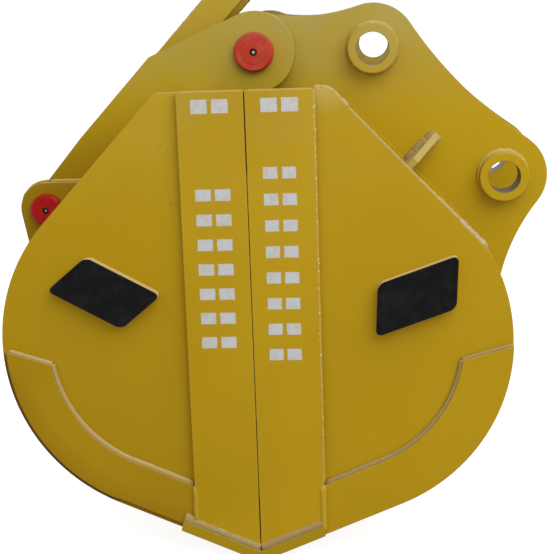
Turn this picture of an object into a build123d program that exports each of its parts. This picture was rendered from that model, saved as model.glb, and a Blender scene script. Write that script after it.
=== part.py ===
"""Mechanical clamshell bucket: two jaws, hinge, ears and stiff arm as separate pieces.

Frame: millimetres, +Z up, +Y away from the viewer, origin on the stick pin axis at mid width.
Jaw profiles are drawn in local (u, w): u away from the seam, w up from the jaw top edge.
"""
import math
import os

from build123d import *

os.makedirs("parts", exist_ok=True)

# Pin layout
HINGE_TO_STICK = 292.0
HINGE_ABOVE_JAW = 77.0
LINK_AHEAD = 321.0
LINK_DROP = 325.0
ARM_PIN_ALONG = 446.0
ARM_PIN_OUT = 35.0

# Jaw outline
TOP_EDGE = 209.0
SLANT_DEG = 43.3
SLANT_LEN = 412.0
TIP_DROP = 1141.0
BOTTOM_DEG = 23.0
REAR_CORNER_R = 40.0
REAR_SLANT_IN = 13.0
SEAM_GAP = 3.0

# Plate stack across the width
WIDTH_OVER_STRIPS = 1067.0
STRIP_T = 18.5
SIDE_T = 16.0
WEAR_T = 12.0
BADGE_T = 30.0
WRAP_T = 16.0
BACK_T = 14.0
BAR_T = 16.0

# Strips, wear plates, lips
STRIP_W = 156.0
WEAR_W = 115.0
WEAR_CUT_IN_DEG = -8.0
WEAR_CUT_OUT_DEG = -1.6
FRONT_WEAR_INSET = 12.0
LIP_T = 25.0
LIP_PROUD = 4.0
LIP_GAP = 0.4
LIP_LAP = 40.0
REAR_LIP_LEN = 158.0
REAR_LIP_TOP_LEN = 156.5
FRONT_LIP_LEN = 193.0
FRONT_LIP_TOP_LEN = 186.5

# Back plates and top bars
REAR_BACK_INSET = 26.0
FRONT_BACK_INSET = 40.0
BAR_START = 118.0
BAR_DROP = 22.0

# Ears and bosses
EAR_IN = 165.0
EAR_T = 40.0
EAR_HINGE_R = 96.0
EAR_STICK_R = 110.0
EAR_LINK_R = 109.0
HOLLOW_TOP_R = 465.0
HOLLOW_BACK_R = 1090.0
HOLLOW_LOW_R = 500.0
EAR_SKIRT = 315.0
BORE_R = 40.08
BOSS_R = 60.0
BOSS_H = 40.0

# Hinge
PLATE_GAP = 3.0
PLATE_T = 38.0
LOBE_R = 100.0
PLATE_TOP_DEG = 23.2
PLATE_EDGE_OUT = 55.0
PLATE_EDGE_END = 190.0
PLATE_END_R = 46.0
SKIRT_OUT = 45.0
SKIRT_DROP = 135.0
HINGE_PIN_R = 40.0
RUN_GAP = 0.08
BUSH_R = 52.0
THRUST_GAP = 0.4
TUBE_R = 72.0
CAP_R = 49.0
CAP_T = 22.0
CAP_WELL_R = 9.0
CAP_BEVEL = 5.0

# Grease fittings
NIPPLE_L = 11.0
NIPPLE_HEX_R = 5.6
NIPPLE_HEX_H = 5.0
NIPPLE_NECK_R = 2.4
NIPPLE_HEAD_R = 3.2

# Arm
ARM_PIN_R = 30.0
DOUBLER_R = 68.0
DOUBLER_T = 25.0
DOUBLER_BACK = 130.0
ARM_CAP_R = 40.5
ARM_CAP_T = 20.0
ARM_CAP_WELL_R = 8.0
ARM_TUBE_R = 59.0
ARM_BUSH_R = 40.0
ARM_UNDER = 16.0
ARM_LEN = 1000.0
ARM_HALF_W = 110.0
CHEEK_T = 18.0
CHEEK_RIM = 6.0
ARM_TAPER = 190.0
ARM_PLATE_T = 14.0
ARM_TOP_START = 70.0
ARM_TUBE_CLEAR = 8.0
HEAD_R = 52.0
HEAD_PROUD = 12.0
HEAD_BORE_R = 30.05
REST_ALONG = 300.0
REST_LEN = 80.0
REST_HALF_W = 80.0
REST_GAP = 0.3

# Ear gusset
GUSSET_T = 17.0
GUSSET_ALONG = 268.0
GUSSET_RISE = 79.0
GUSSET_FOOT = 92.0
GUSSET_NOSE = 8.0

# Blank badge plates, near side only: baseline start beside the seam and below the hinge, angle
BADGE_LEN = 198.0
BADGE_HIGH = 116.0
BADGE_SKEW = 47.0
REAR_BADGE_OUT = 289.0
REAR_BADGE_DROP = 654.0
REAR_BADGE_DEG = 19.3
FRONT_BADGE_OUT = 484.0
FRONT_BADGE_DROP = 531.0
FRONT_BADGE_DEG = -28.7

SIDE_OUT = WIDTH_OVER_STRIPS / 2 - STRIP_T
SIDE_IN = SIDE_OUT - SIDE_T
WRAP_INSET = LIP_T
EAR_OUT = EAR_IN + EAR_T
PLATE_IN = EAR_OUT + PLATE_GAP
PLATE_OUT = PLATE_IN + PLATE_T
DOUBLER_OUT = PLATE_OUT + DOUBLER_T
REAR = 1.0
FRONT = -1.0


def add(a, b, k=1.0):
    """Return a + k * b for two plane vectors."""
    return (a[0] + k * b[0], a[1] + k * b[1])


def unit(deg):
    """Return the unit vector at an angle from the first axis."""
    return (math.cos(math.radians(deg)), math.sin(math.radians(deg)))


def dot(a, b):
    """Return the dot product of two plane vectors."""
    return a[0] * b[0] + a[1] * b[1]


def place(side, p):
    """Map a local jaw point (u, w) to (X, Z)."""
    return (-HINGE_TO_STICK + side * p[0], -HINGE_ABOVE_JAW + p[1])


def vec(p, y=0.0):
    """Return the space point of a plane point (X, Z)."""
    return Vector(p[0], y, p[1])


def slab(path, y0, y1):
    """Extrude a closed path along Y. Steps: ("l", point) or ("a", middle, point)."""
    edges = []
    here = path[0][-1]
    for step in path[1:]:
        if step[0] == "l":
            edges.append(Edge.make_line(vec(here), vec(step[1])))
        else:
            edges.append(Edge.make_three_point_arc(vec(here), vec(step[1]), vec(step[2])))
        here = step[-1]
    if math.dist(here, path[0][-1]) > 1e-6:
        edges.append(Edge.make_line(vec(here), vec(path[0][-1])))
    face = Face(Wire(edges)).moved(Location((0, y0, 0)))
    return Solid.extrude(face, Vector(0, y1 - y0, 0))


def jaw_path(side, path):
    """Map a local jaw path to the common frame."""
    return [(s[0], *[place(side, p) for p in s[1:]]) for s in path]


def lines(points):
    """Return a straight-sided path through the points."""
    return [("l", p) for p in points]


def pair(path, y0, y1):
    """Return the two mirrored plates of a path at y0..y1 on either side of mid width."""
    return [slab(path, y0, y1), slab(path, -y1, -y0)]


def cut(solids, *tools):
    """Return the solids with each tool removed."""
    out = []
    for body in solids:
        for tool in tools:
            body = body - tool
        out.extend(body.solids())
    return out


def rod(at, r, y0, y1):
    """Return a cylinder along Y through (X, Z)."""
    return Solid.make_cylinder(r, y1 - y0, Plane(origin=(at[0], y0, at[1]), z_dir=(0, 1, 0)))


def turned(at, profile):
    """Revolve a (radius, y) polygon about the Y line through (X, Z)."""
    pts = [Vector(at[0] + r, y, at[1]) for r, y in profile]
    face = Face(Wire.make_polygon(pts, close=True))
    return Solid.revolve(face, 360, Axis((at[0], 0, at[1]), (0, 1, 0)))


def turned_pair(at, profile):
    """Return a turned piece and its mirror image across mid width."""
    flip = [(r, -y) for r, y in reversed(profile)]
    return [turned(at, profile), turned(at, flip)]


def save(name, solids):
    """Write one node."""
    export_step(Compound(list(solids)), os.path.join("parts", name + ".step"))


def arc_mid(c, r, a0, a1):
    """Return the point half way round an arc."""
    return add(c, unit((a0 + a1) / 2), r)


def angle(c, p):
    """Return the angle of p seen from c in degrees."""
    return math.degrees(math.atan2(p[1] - c[1], p[0] - c[0]))


# Jaw outline: slanted edge, bottom edge and the one arc that leaves the first and meets the second
N1 = unit(SLANT_DEG)
T1 = (N1[1], -N1[0])
N2 = unit(BOTTOM_DEG - 90)
OFF1 = TOP_EDGE * N1[0]
OFF2 = TIP_DROP * math.cos(math.radians(BOTTOM_DEG))
SLANT_END = add((TOP_EDGE, 0.0), T1, SLANT_LEN)
ARC_R = (OFF2 - dot(N2, SLANT_END)) / (1 - dot(N1, N2))
ARC_C = add(SLANT_END, N1, -ARC_R)
ANG2 = BOTTOM_DEG - 90


def on_arc(deg, inset=0.0):
    """Return a point of the outline arc, moved inward by inset."""
    return add(ARC_C, unit(deg), ARC_R - inset)


def bottom_w(u, inset=0.0):
    """Return the height of the bottom edge at u, moved inward by inset."""
    return (OFF2 - inset - N2[0] * u) / N2[1]


def slant_u(w, inset=0.0):
    """Return u of the slanted edge at height w, moved inward by inset."""
    return (OFF1 - inset - N1[1] * w) / N1[0]


def outline(corner_r, slant_in):
    """Return the side plate outline of one jaw.

    corner_r rounds the top corner, slant_in moves the slanted edge inward until it cuts the arc.
    """
    g = SEAM_GAP / 2
    path = lines([(g, 0.0)])
    corner = (slant_u(0.0, slant_in), 0.0)
    if corner_r > 0:
        reach = corner_r * math.tan(math.radians(90 - SLANT_DEG) / 2)
        c = (corner[0] - reach, -corner_r)
        path.append(("l", (corner[0] - reach, 0.0)))
        path.append(("a", arc_mid(c, corner_r, 90, SLANT_DEG), add(corner, T1, reach)))
    else:
        path.append(("l", corner))
    meet = SLANT_DEG - math.degrees(math.acos((ARC_R - slant_in) / ARC_R))
    path.append(("l", on_arc(meet)))
    path.append(("a", on_arc((meet + ANG2) / 2), on_arc(ANG2)))
    path.append(("l", (g, bottom_w(g))))
    return path


def band(a0, inset0, inset1, u_end, a1):
    """Return the strip between two insets, from arc angles a0 (outer) and a1 (inner) to u_end."""
    path = [("l", on_arc(a0, inset0))]
    path.append(("a", on_arc((a0 + ANG2) / 2, inset0), on_arc(ANG2, inset0)))
    path.append(("l", (u_end, bottom_w(u_end, inset0))))
    path.append(("l", (u_end, bottom_w(u_end, inset1))))
    path.append(("l", on_arc(ANG2, inset1)))
    path.append(("a", on_arc((a1 + ANG2) / 2, inset1), on_arc(a1, inset1)))
    return path


def inside(foot, foot_deg):
    """Return the region behind the back plate's and wrapper's outer faces and below the top bar's face.

    foot is the point where the back plate meets the wrapper, foot_deg its arc angle.
    """
    path = lines([(BAR_START, -BAR_DROP), back_at(foot, -BAR_DROP), foot])
    path.append(("a", on_arc((foot_deg + ANG2) / 2, WRAP_INSET), on_arc(ANG2, WRAP_INSET)))
    path.append(("l", (BAR_START, bottom_w(BAR_START, WRAP_INSET))))
    return path


def back_at(foot, w, deep=0.0):
    """Return the point at height w of the back plate's face, moved inward by deep."""
    n = (-back_dir(foot)[1], back_dir(foot)[0])
    start = add(foot, n, deep)
    k = (w - start[1]) / back_dir(foot)[1]
    return add(start, back_dir(foot), k)


def back_dir(foot):
    """Return the unit direction of a back plate, upward from its foot."""
    inset = FRONT_BACK_INSET if foot == FRONT_FOOT else REAR_BACK_INSET
    d = add(add((TOP_EDGE, 0.0), N1, -inset), foot, -1)
    return (d[0] / math.hypot(*d), d[1] / math.hypot(*d))


REAR_FOOT_DEG = SLANT_DEG
FOOT_DROP = math.acos((ARC_R - FRONT_BACK_INSET) / (ARC_R - WRAP_INSET))
FRONT_FOOT_DEG = SLANT_DEG - math.degrees(FOOT_DROP)
REAR_FOOT = on_arc(REAR_FOOT_DEG, WRAP_INSET)
FRONT_FOOT = on_arc(FRONT_FOOT_DEG, WRAP_INSET)


def back_path(foot, foot_deg):
    """Return the back plate section: face, top end, inner face and the cut on the wrapper's end."""
    d = back_dir(foot)
    radial = unit(foot_deg)
    n = (-d[1], d[0])
    k = BACK_T / -dot(n, radial)
    top = [back_at(foot, -BAR_DROP), back_at(foot, -BAR_DROP, BACK_T)]
    return lines([foot, *top, add(foot, radial, -k)])


def lip_path(low, up):
    """Return the cutting lip section of one jaw."""
    g = LIP_GAP / 2
    return lines([(g, bottom_w(g)), (low, bottom_w(low)), (up, bottom_w(up, LIP_T)),
                  (g, bottom_w(g, LIP_T))])


def hollow(c1, r1, c2, r2, rho):
    """Return tangent points, middle of a hollow arc of radius rho outside two circles."""
    d = math.dist(c1, c2)
    e = ((c2[0] - c1[0]) / d, (c2[1] - c1[1]) / d)
    n = (-e[1], e[0])
    a = ((r1 + rho) ** 2 - (r2 + rho) ** 2 + d * d) / (2 * d)
    o = add(add(c1, e, a), n, math.sqrt((r1 + rho) ** 2 - a * a))
    return add(c1, unit(angle(c1, o)), r1), add(o, n, -rho), add(c2, unit(angle(c2, o)), r2)


# Pin centres, local and in the common frame
HINGE = (0.0, HINGE_ABOVE_JAW)
STICK = (HINGE_TO_STICK, HINGE_ABOVE_JAW)
LINK = (HINGE_TO_STICK + LINK_AHEAD, HINGE_ABOVE_JAW - LINK_DROP)
ARM_PIN = add(add((TOP_EDGE, 0.0), T1, ARM_PIN_ALONG), N1, ARM_PIN_OUT)
H_AT = place(REAR, HINGE)
A_AT = place(REAR, STICK)
B_AT = place(REAR, LINK)
P_AT = place(FRONT, ARM_PIN)

# Two jaws
JAWS = {
    "rear": (REAR, REAR_CORNER_R, REAR_SLANT_IN, REAR_FOOT, REAR_FOOT_DEG,
             REAR_LIP_LEN, REAR_LIP_TOP_LEN, 0.0,
             (REAR_BADGE_OUT, -REAR_BADGE_DROP, REAR_BADGE_DEG)),
    "front": (FRONT, 0.0, 0.0, FRONT_FOOT, FRONT_FOOT_DEG,
              FRONT_LIP_LEN, FRONT_LIP_TOP_LEN, FRONT_WEAR_INSET,
              (FRONT_BADGE_OUT, -FRONT_BADGE_DROP, FRONT_BADGE_DEG)),
}
LIP_Y = WIDTH_OVER_STRIPS / 2 + LIP_PROUD
STRIP_U0 = SEAM_GAP / 2
STRIP = lines([(STRIP_U0, 0.0), (STRIP_W, 0.0), (STRIP_W, bottom_w(STRIP_W)),
               (STRIP_U0, bottom_w(STRIP_U0))])

for jaw, (side, corner_r, slant_in, foot, foot_deg, low, up, inset, badge) in JAWS.items():
    lip = slab(jaw_path(side, lip_path(low, up)), -LIP_Y, LIP_Y)
    plates = pair(jaw_path(side, outline(corner_r, slant_in)), SIDE_IN, SIDE_OUT)
    save(jaw + "_side_plates", cut(plates, lip))
    strips = pair(jaw_path(side, STRIP), SIDE_OUT, SIDE_OUT + STRIP_T)
    save(jaw + "_edge_strips", cut(strips, lip))
    wear = band(WEAR_CUT_OUT_DEG, inset, WEAR_W, STRIP_W, WEAR_CUT_IN_DEG)
    wear = pair(jaw_path(side, wear), SIDE_OUT, SIDE_OUT + WEAR_T)
    save(jaw + "_wear_plates", cut(wear, lip))
    wrap = band(foot_deg, WRAP_INSET, WRAP_INSET + WRAP_T, up - LIP_LAP, foot_deg)
    save(jaw + "_wrapper", [slab(jaw_path(side, wrap), -SIDE_IN, SIDE_IN)])
    save(jaw + "_back_plate", [slab(jaw_path(side, back_path(foot, foot_deg)), -SIDE_IN, SIDE_IN)])
    under = -BAR_DROP - BAR_T
    bar = lines([(BAR_START, -BAR_DROP), back_at(foot, -BAR_DROP, BACK_T), back_at(foot, under, BACK_T),
                 (BAR_START, under)])
    save(jaw + "_top_bar", [slab(jaw_path(side, bar), -SIDE_IN, SIDE_IN)])
    save(jaw + "_cutting_lip", [lip])
    base = (-HINGE_TO_STICK + side * badge[0], badge[1])
    along = unit(badge[2])
    rise = unit(badge[2] + 90)
    lean = add((rise[0] * BADGE_HIGH, rise[1] * BADGE_HIGH), along, BADGE_SKEW)
    far = add(base, along, BADGE_LEN)
    plate = lines([base, far, add(far, lean), add(base, lean)])
    save(jaw + "_badge_plate", [slab(plate, -SIDE_OUT - BADGE_T, -SIDE_OUT)])

# Rear ears with stick and link bosses
LOW_DEG = -75.0
LINK_LOW_DEG = -38.0
EAR_END_W = LINK[1] - EAR_SKIRT
h1, m1, a1 = hollow(HINGE, EAR_HINGE_R, STICK, EAR_STICK_R, HOLLOW_TOP_R)
a2, m2, b1 = hollow(STICK, EAR_STICK_R, LINK, EAR_LINK_R, HOLLOW_BACK_R)
b2 = add(LINK, unit(LINK_LOW_DEG), EAR_LINK_R)
low_c = add(LINK, unit(LINK_LOW_DEG), EAR_LINK_R + HOLLOW_LOW_R)
low_drop = EAR_END_W - low_c[1]
low_end = (low_c[0] - math.sqrt(HOLLOW_LOW_R ** 2 - low_drop ** 2), EAR_END_W)
low_mid = arc_mid(low_c, HOLLOW_LOW_R, angle(low_c, b2) % 360, angle(low_c, low_end) % 360)
lobe_low = add(HINGE, unit(LOW_DEG), EAR_HINGE_R)
ear = [("l", lobe_low)]
ear.append(("a", arc_mid(HINGE, EAR_HINGE_R, LOW_DEG + 360, angle(HINGE, h1)), h1))
ear.append(("a", m1, a1))
ear.append(("a", arc_mid(STICK, EAR_STICK_R, angle(STICK, a1), angle(STICK, a2)), a2))
ear.append(("a", m2, b1))
ear.append(("a", arc_mid(LINK, EAR_LINK_R, angle(LINK, b1), LINK_LOW_DEG), b2))
ear.append(("a", low_mid, low_end))
on_bar = [(BAR_START + BAR_T, -BAR_DROP - BAR_T / 2), (BAR_START, -BAR_DROP)]
ear += lines([add(REAR_FOOT, N1, -2 * BAR_T), *on_bar])
rear_inside = slab(jaw_path(REAR, inside(REAR_FOOT, REAR_FOOT_DEG)), -SIDE_IN, SIDE_IN)
bores = [rod(H_AT, BUSH_R, -SIDE_IN, SIDE_IN), rod(A_AT, BORE_R, -SIDE_IN, SIDE_IN),
         rod(B_AT, BORE_R, -SIDE_IN, SIDE_IN)]
save("rear_ears", cut(pair(jaw_path(REAR, ear), EAR_IN, EAR_OUT), rear_inside, *bores))
BOSS_OUT = EAR_OUT + BOSS_H
boss = [(BORE_R, EAR_OUT), (BOSS_R, EAR_OUT), (BOSS_R, BOSS_OUT), (BORE_R, BOSS_OUT)]
save("stick_pin_bosses", turned_pair(A_AT, boss))
save("link_pin_bosses", turned_pair(B_AT, boss))
save("hinge_tube", cut([rod(H_AT, TUBE_R, -EAR_IN, EAR_IN)], bores[0]))
BUSH_OUT = PLATE_IN - THRUST_GAP
bush = rod(H_AT, BUSH_R, -BUSH_OUT, BUSH_OUT)
save("hinge_bush", cut([bush], rod(H_AT, HINGE_PIN_R + RUN_GAP, -SIDE_IN, SIDE_IN)))

# Triangular gussets between the ears and the rear back plate
gusset_at = add((TOP_EDGE, 0.0), T1, GUSSET_ALONG - GUSSET_T / 2)
gussets = []
for hand in (1.0, -1.0):
    rows = [(-2 * REAR_BACK_INSET, 0.0), (GUSSET_RISE, 0.0), (GUSSET_RISE, GUSSET_NOSE),
            (0.0, GUSSET_FOOT), (-2 * REAR_BACK_INSET, GUSSET_FOOT)]
    pts = [vec(place(REAR, add(gusset_at, N1, n)), hand * (EAR_OUT + y)) for n, y in rows]
    face = Face(Wire.make_polygon(pts, close=True))
    run = place(REAR, T1)
    run = add(run, place(REAR, (0.0, 0.0)), -1)
    gussets.append(Solid.extrude(face, Vector(run[0] * GUSSET_T, 0, run[1] * GUSSET_T)))
save("rear_gussets", cut(gussets, rear_inside))

# Front hinge plates and doublers
front_inside = slab(jaw_path(FRONT, inside(FRONT_FOOT, FRONT_FOOT_DEG)), -SIDE_IN, SIDE_IN)
top_n = unit(90 - PLATE_TOP_DEG)
top_d = unit(-PLATE_TOP_DEG)
top_at = add(HINGE, top_n, LOBE_R)
edge_off = OFF1 + ARM_PIN_OUT + PLATE_EDGE_OUT
knee = add(top_at, top_d, (edge_off - dot(N1, top_at)) / dot(N1, top_d))
END_DEG = -20.0
plate_low = add(HINGE, unit(LOW_DEG), LOBE_R)
skirt = add(ARM_PIN, (SKIRT_OUT, -SKIRT_DROP))
within = on_arc(FRONT_FOOT_DEG, WRAP_INSET + 2 * WRAP_T)
hinge_plate = [("l", plate_low)]
hinge_plate.append(("a", arc_mid(HINGE, LOBE_R, LOW_DEG + 360, 90 - PLATE_TOP_DEG), top_at))
hinge_plate.append(("l", knee))
hinge_plate.append(("l", add(add(ARM_PIN, T1, -PLATE_EDGE_END), N1, PLATE_EDGE_OUT)))
hinge_plate.append(("l", add(ARM_PIN, N1, PLATE_END_R)))
hinge_plate.append(("a", arc_mid(ARM_PIN, PLATE_END_R, SLANT_DEG, END_DEG),
                    add(ARM_PIN, unit(END_DEG), PLATE_END_R)))
hinge_plate += lines([skirt, within, *on_bar])
pins = [rod(H_AT, HINGE_PIN_R, -SIDE_IN, SIDE_IN), rod(P_AT, ARM_PIN_R, -SIDE_IN, SIDE_IN)]
plates = pair(jaw_path(FRONT, hinge_plate), PLATE_IN, PLATE_OUT)
save("front_hinge_plates", cut(plates, front_inside, *pins))
doubler = [("l", add(ARM_PIN, (0.0, DOUBLER_R)))]
doubler.append(("a", arc_mid(ARM_PIN, DOUBLER_R, 90, -10), add(ARM_PIN, unit(-10), DOUBLER_R)))
doubler += lines([skirt, within, add(ARM_PIN, (-DOUBLER_BACK, -DOUBLER_R)),
                  add(ARM_PIN, (-DOUBLER_BACK, DOUBLER_R))])
doublers = pair(jaw_path(FRONT, doubler), PLATE_OUT, DOUBLER_OUT)
save("arm_ear_doublers", cut(doublers, front_inside, pins[1]))

# Pins, caps with a well for the grease nipple, nipples


def cap_profile(r, y0, t, well_r):
    """Return a pin cap section: chamfered rim and a nipple well."""
    y1 = y0 + t
    well = y1 - NIPPLE_L
    rim = [(0.0, y0), (r, y0), (r, y1 - CAP_BEVEL), (r - CAP_BEVEL, y1)]
    return rim + [(well_r, y1), (well_r, well), (0.0, well)]


save("hinge_pin", [rod(H_AT, HINGE_PIN_R, -PLATE_OUT, PLATE_OUT)])
cap = cap_profile(CAP_R, PLATE_OUT, CAP_T, CAP_WELL_R)
save("hinge_pin_caps", turned_pair(H_AT, cap))
save("arm_pin", [rod(P_AT, ARM_PIN_R, -DOUBLER_OUT, DOUBLER_OUT)])
arm_cap = cap_profile(ARM_CAP_R, DOUBLER_OUT, ARM_CAP_T, ARM_CAP_WELL_R)
save("arm_pin_caps", turned_pair(P_AT, arm_cap))


def prism(at, sides, r, y0, y1):
    """Return a regular prism along Y."""
    pts = [vec(add(at, unit(360 / sides * i), r), y0) for i in range(sides)]
    return Solid.extrude(Face(Wire.make_polygon(pts, close=True)), Vector(0, y1 - y0, 0))


def nipple(at, y_base, hand):
    """Return one grease nipple: hexagon base, neck and head."""
    nut = y_base + NIPPLE_HEX_H
    top = y_base + NIPPLE_L - THRUST_GAP
    body = prism(at, 6, NIPPLE_HEX_R, hand * y_base, hand * nut)
    body = body + prism(at, 8, NIPPLE_NECK_R, hand * nut, hand * (top - NIPPLE_HEAD_R))
    body = body + prism(at, 8, NIPPLE_HEAD_R, hand * (top - NIPPLE_HEAD_R), hand * top)
    return body.solids()[0]


nipples = []
for hand in (1.0, -1.0):
    nipples.append(nipple(H_AT, PLATE_OUT + CAP_T - NIPPLE_L, hand))
    nipples.append(nipple(P_AT, DOUBLER_OUT + ARM_CAP_T - NIPPLE_L, hand))
save("grease_nipples", nipples)

# Stiff arm, drawn along s (up the arm from its pin) and n (outward)
ARM_DIR = (-T1[0], -T1[1])


def arm(s, n):
    """Return the local jaw point at s along and n outward of the arm pin."""
    return add(add(ARM_PIN, ARM_DIR, s), N1, n)


def arm_box(s0, s1, n0, n1, half):
    """Return a straight bar of the arm."""
    path = lines([arm(s0, n0), arm(s1, n0), arm(s1, n1), arm(s0, n1)])
    return slab(jaw_path(FRONT, path), -half, half)


CHEEK_IN = ARM_HALF_W - CHEEK_T
reach = math.hypot(ARM_TAPER, ARM_UNDER)
taper_deg = math.degrees(math.atan2(-ARM_UNDER, ARM_TAPER) - math.acos(ARM_TUBE_R / reach))
heel = unit(taper_deg)
head_n = (ARM_TUBE_R - ARM_UNDER) / 2
cheek = [("l", arm(0.0, ARM_TUBE_R)), ("l", arm(ARM_LEN, ARM_TUBE_R)), ("l", arm(ARM_LEN, -ARM_UNDER)),
         ("l", arm(ARM_TAPER, -ARM_UNDER)), ("l", arm(ARM_TUBE_R * heel[0], ARM_TUBE_R * heel[1]))]
cheek.append(("a", arm(-ARM_TUBE_R, 0.0), arm(0.0, ARM_TUBE_R)))
HEAD_AT = place(FRONT, arm(ARM_LEN, head_n))
ARM_TUBE_Y = PLATE_IN - ARM_TUBE_CLEAR
cheeks = pair(jaw_path(FRONT, cheek), CHEEK_IN, ARM_HALF_W)
arm_bore = rod(P_AT, ARM_BUSH_R, -SIDE_IN, SIDE_IN)
tube = rod(P_AT, ARM_TUBE_R - CHEEK_RIM, -ARM_TUBE_Y, ARM_TUBE_Y)
head = rod(HEAD_AT, HEAD_R, -ARM_HALF_W - HEAD_PROUD, ARM_HALF_W + HEAD_PROUD)
save("arm_cheeks", cut(cheeks, tube, head))
save("arm_pivot_tube", cut([tube], arm_bore))
arm_bush = rod(P_AT, ARM_BUSH_R, -BUSH_OUT, BUSH_OUT)
save("arm_pivot_bush", cut([arm_bush], rod(P_AT, ARM_PIN_R + RUN_GAP, -SIDE_IN, SIDE_IN)))
top_plate = arm_box(ARM_TOP_START, ARM_LEN, ARM_TUBE_R - ARM_PLATE_T, ARM_TUBE_R, CHEEK_IN)
save("arm_top_plate", cut([top_plate], head))
bottom_plate = arm_box(ARM_TAPER, ARM_LEN, -ARM_UNDER, ARM_PLATE_T - ARM_UNDER, CHEEK_IN)
save("arm_bottom_plate", cut([bottom_plate], head))
save("arm_head_tube", cut([head], rod(HEAD_AT, HEAD_BORE_R, -SIDE_IN, SIDE_IN)))
rest_foot = -ARM_PIN_OUT - FRONT_BACK_INSET - BACK_T / 2
block = arm_box(REST_ALONG, REST_ALONG + REST_LEN, rest_foot, -ARM_UNDER - REST_GAP, REST_HALF_W)
save("arm_rest_block", cut([block], front_inside))
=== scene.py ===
"""Looks of the clamshell bucket: paint, welds, blank badges, stencil bars, light and camera.

Every size is in metres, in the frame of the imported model: +Z up, +Y away from the viewer.
"""

import logging
import math
from collections.abc import Callable
from dataclasses import dataclass
from enum import Enum

import bmesh
import bpy
from mathutils import Matrix, Vector


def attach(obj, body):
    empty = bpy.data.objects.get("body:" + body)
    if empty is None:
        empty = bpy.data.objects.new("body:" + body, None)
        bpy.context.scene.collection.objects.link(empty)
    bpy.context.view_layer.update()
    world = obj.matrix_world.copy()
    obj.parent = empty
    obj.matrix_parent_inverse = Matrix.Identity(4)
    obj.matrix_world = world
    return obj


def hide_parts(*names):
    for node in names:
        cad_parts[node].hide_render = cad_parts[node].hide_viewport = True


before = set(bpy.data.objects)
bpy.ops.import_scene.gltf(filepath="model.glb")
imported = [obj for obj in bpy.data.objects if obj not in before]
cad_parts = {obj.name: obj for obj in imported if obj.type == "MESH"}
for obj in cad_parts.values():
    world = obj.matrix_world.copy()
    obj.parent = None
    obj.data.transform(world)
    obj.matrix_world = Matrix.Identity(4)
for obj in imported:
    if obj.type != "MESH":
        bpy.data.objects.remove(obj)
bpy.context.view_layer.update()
LOG = logging.getLogger("bucket")

Colour = tuple[float, float, float]
Flat = tuple[float, float]
Spot = tuple[float, float, float]
Paints = dict[str, bpy.types.Material]
RingOf = Callable[[bmesh.types.BMVert], int]


class Jaw(Enum):
    """The two jaws, by the way they lie from the seam."""

    REAR = 1.0
    FRONT = -1.0

    @property
    def label(self) -> str:
        """Return the word that the jaw's pieces start with."""
        return self.name.lower()

    @property
    def body(self) -> str:
        """Return the CAD body that the jaw is."""
        return f"{self.label}_jaw"


class Hand(Enum):
    """The two sides of mid width."""

    NEAR = -1.0
    FAR = 1.0


class Flank(Enum):
    """The two flanks of a gusset."""

    UPPER = "upper"
    LOWER = "lower"


class Slot(Enum):
    """The record's material slots for yellow and black paint."""

    YELLOW = "yellow_paint"
    BLACK = "black_paint"


# Shader graph


class Num:
    """A number in a shader graph; operators on it add Math nodes."""

    def __init__(self, graph: "Graph", socket: bpy.types.NodeSocket) -> None:
        """Hold a socket of a graph."""
        self.graph = graph
        self.socket = socket

    def __add__(self, other: "Num | float") -> "Num":
        """Return the sum."""
        return self.graph.math("ADD", self, other)

    __radd__ = __add__

    def __sub__(self, other: "Num | float") -> "Num":
        """Return the difference."""
        return self.graph.math("SUBTRACT", self, other)

    def __rsub__(self, other: float) -> "Num":
        """Return the difference the other way round."""
        return self.graph.math("SUBTRACT", other, self)

    def __mul__(self, other: "Num | float") -> "Num":
        """Return the product."""
        return self.graph.math("MULTIPLY", self, other)

    __rmul__ = __mul__

    def __truediv__(self, other: "Num | float") -> "Num":
        """Return the quotient."""
        return self.graph.math("DIVIDE", self, other)

    def __abs__(self) -> "Num":
        """Return the size without its sign."""
        return self.graph.math("ABSOLUTE", self)

    def root(self) -> "Num":
        """Return the square root."""
        return self.graph.math("SQRT", self)

    def part(self) -> "Num":
        """Return what is left after the whole number."""
        return self.graph.math("FRACT", self)

    def most(self, other: "Num | float") -> "Num":
        """Return the larger of two numbers."""
        return self.graph.math("MAXIMUM", self, other)

    def rise(self, low: float, high: float) -> "Num":
        """Return a smooth step from 0 at low to 1 at high."""
        settings = {"interpolation_type": "SMOOTHSTEP", "clamp": True}
        links = {"Value": self, "From Min": low, "From Max": high}
        return Num(self.graph, self.graph.node("ShaderNodeMapRange", settings, links).outputs[0])


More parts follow.
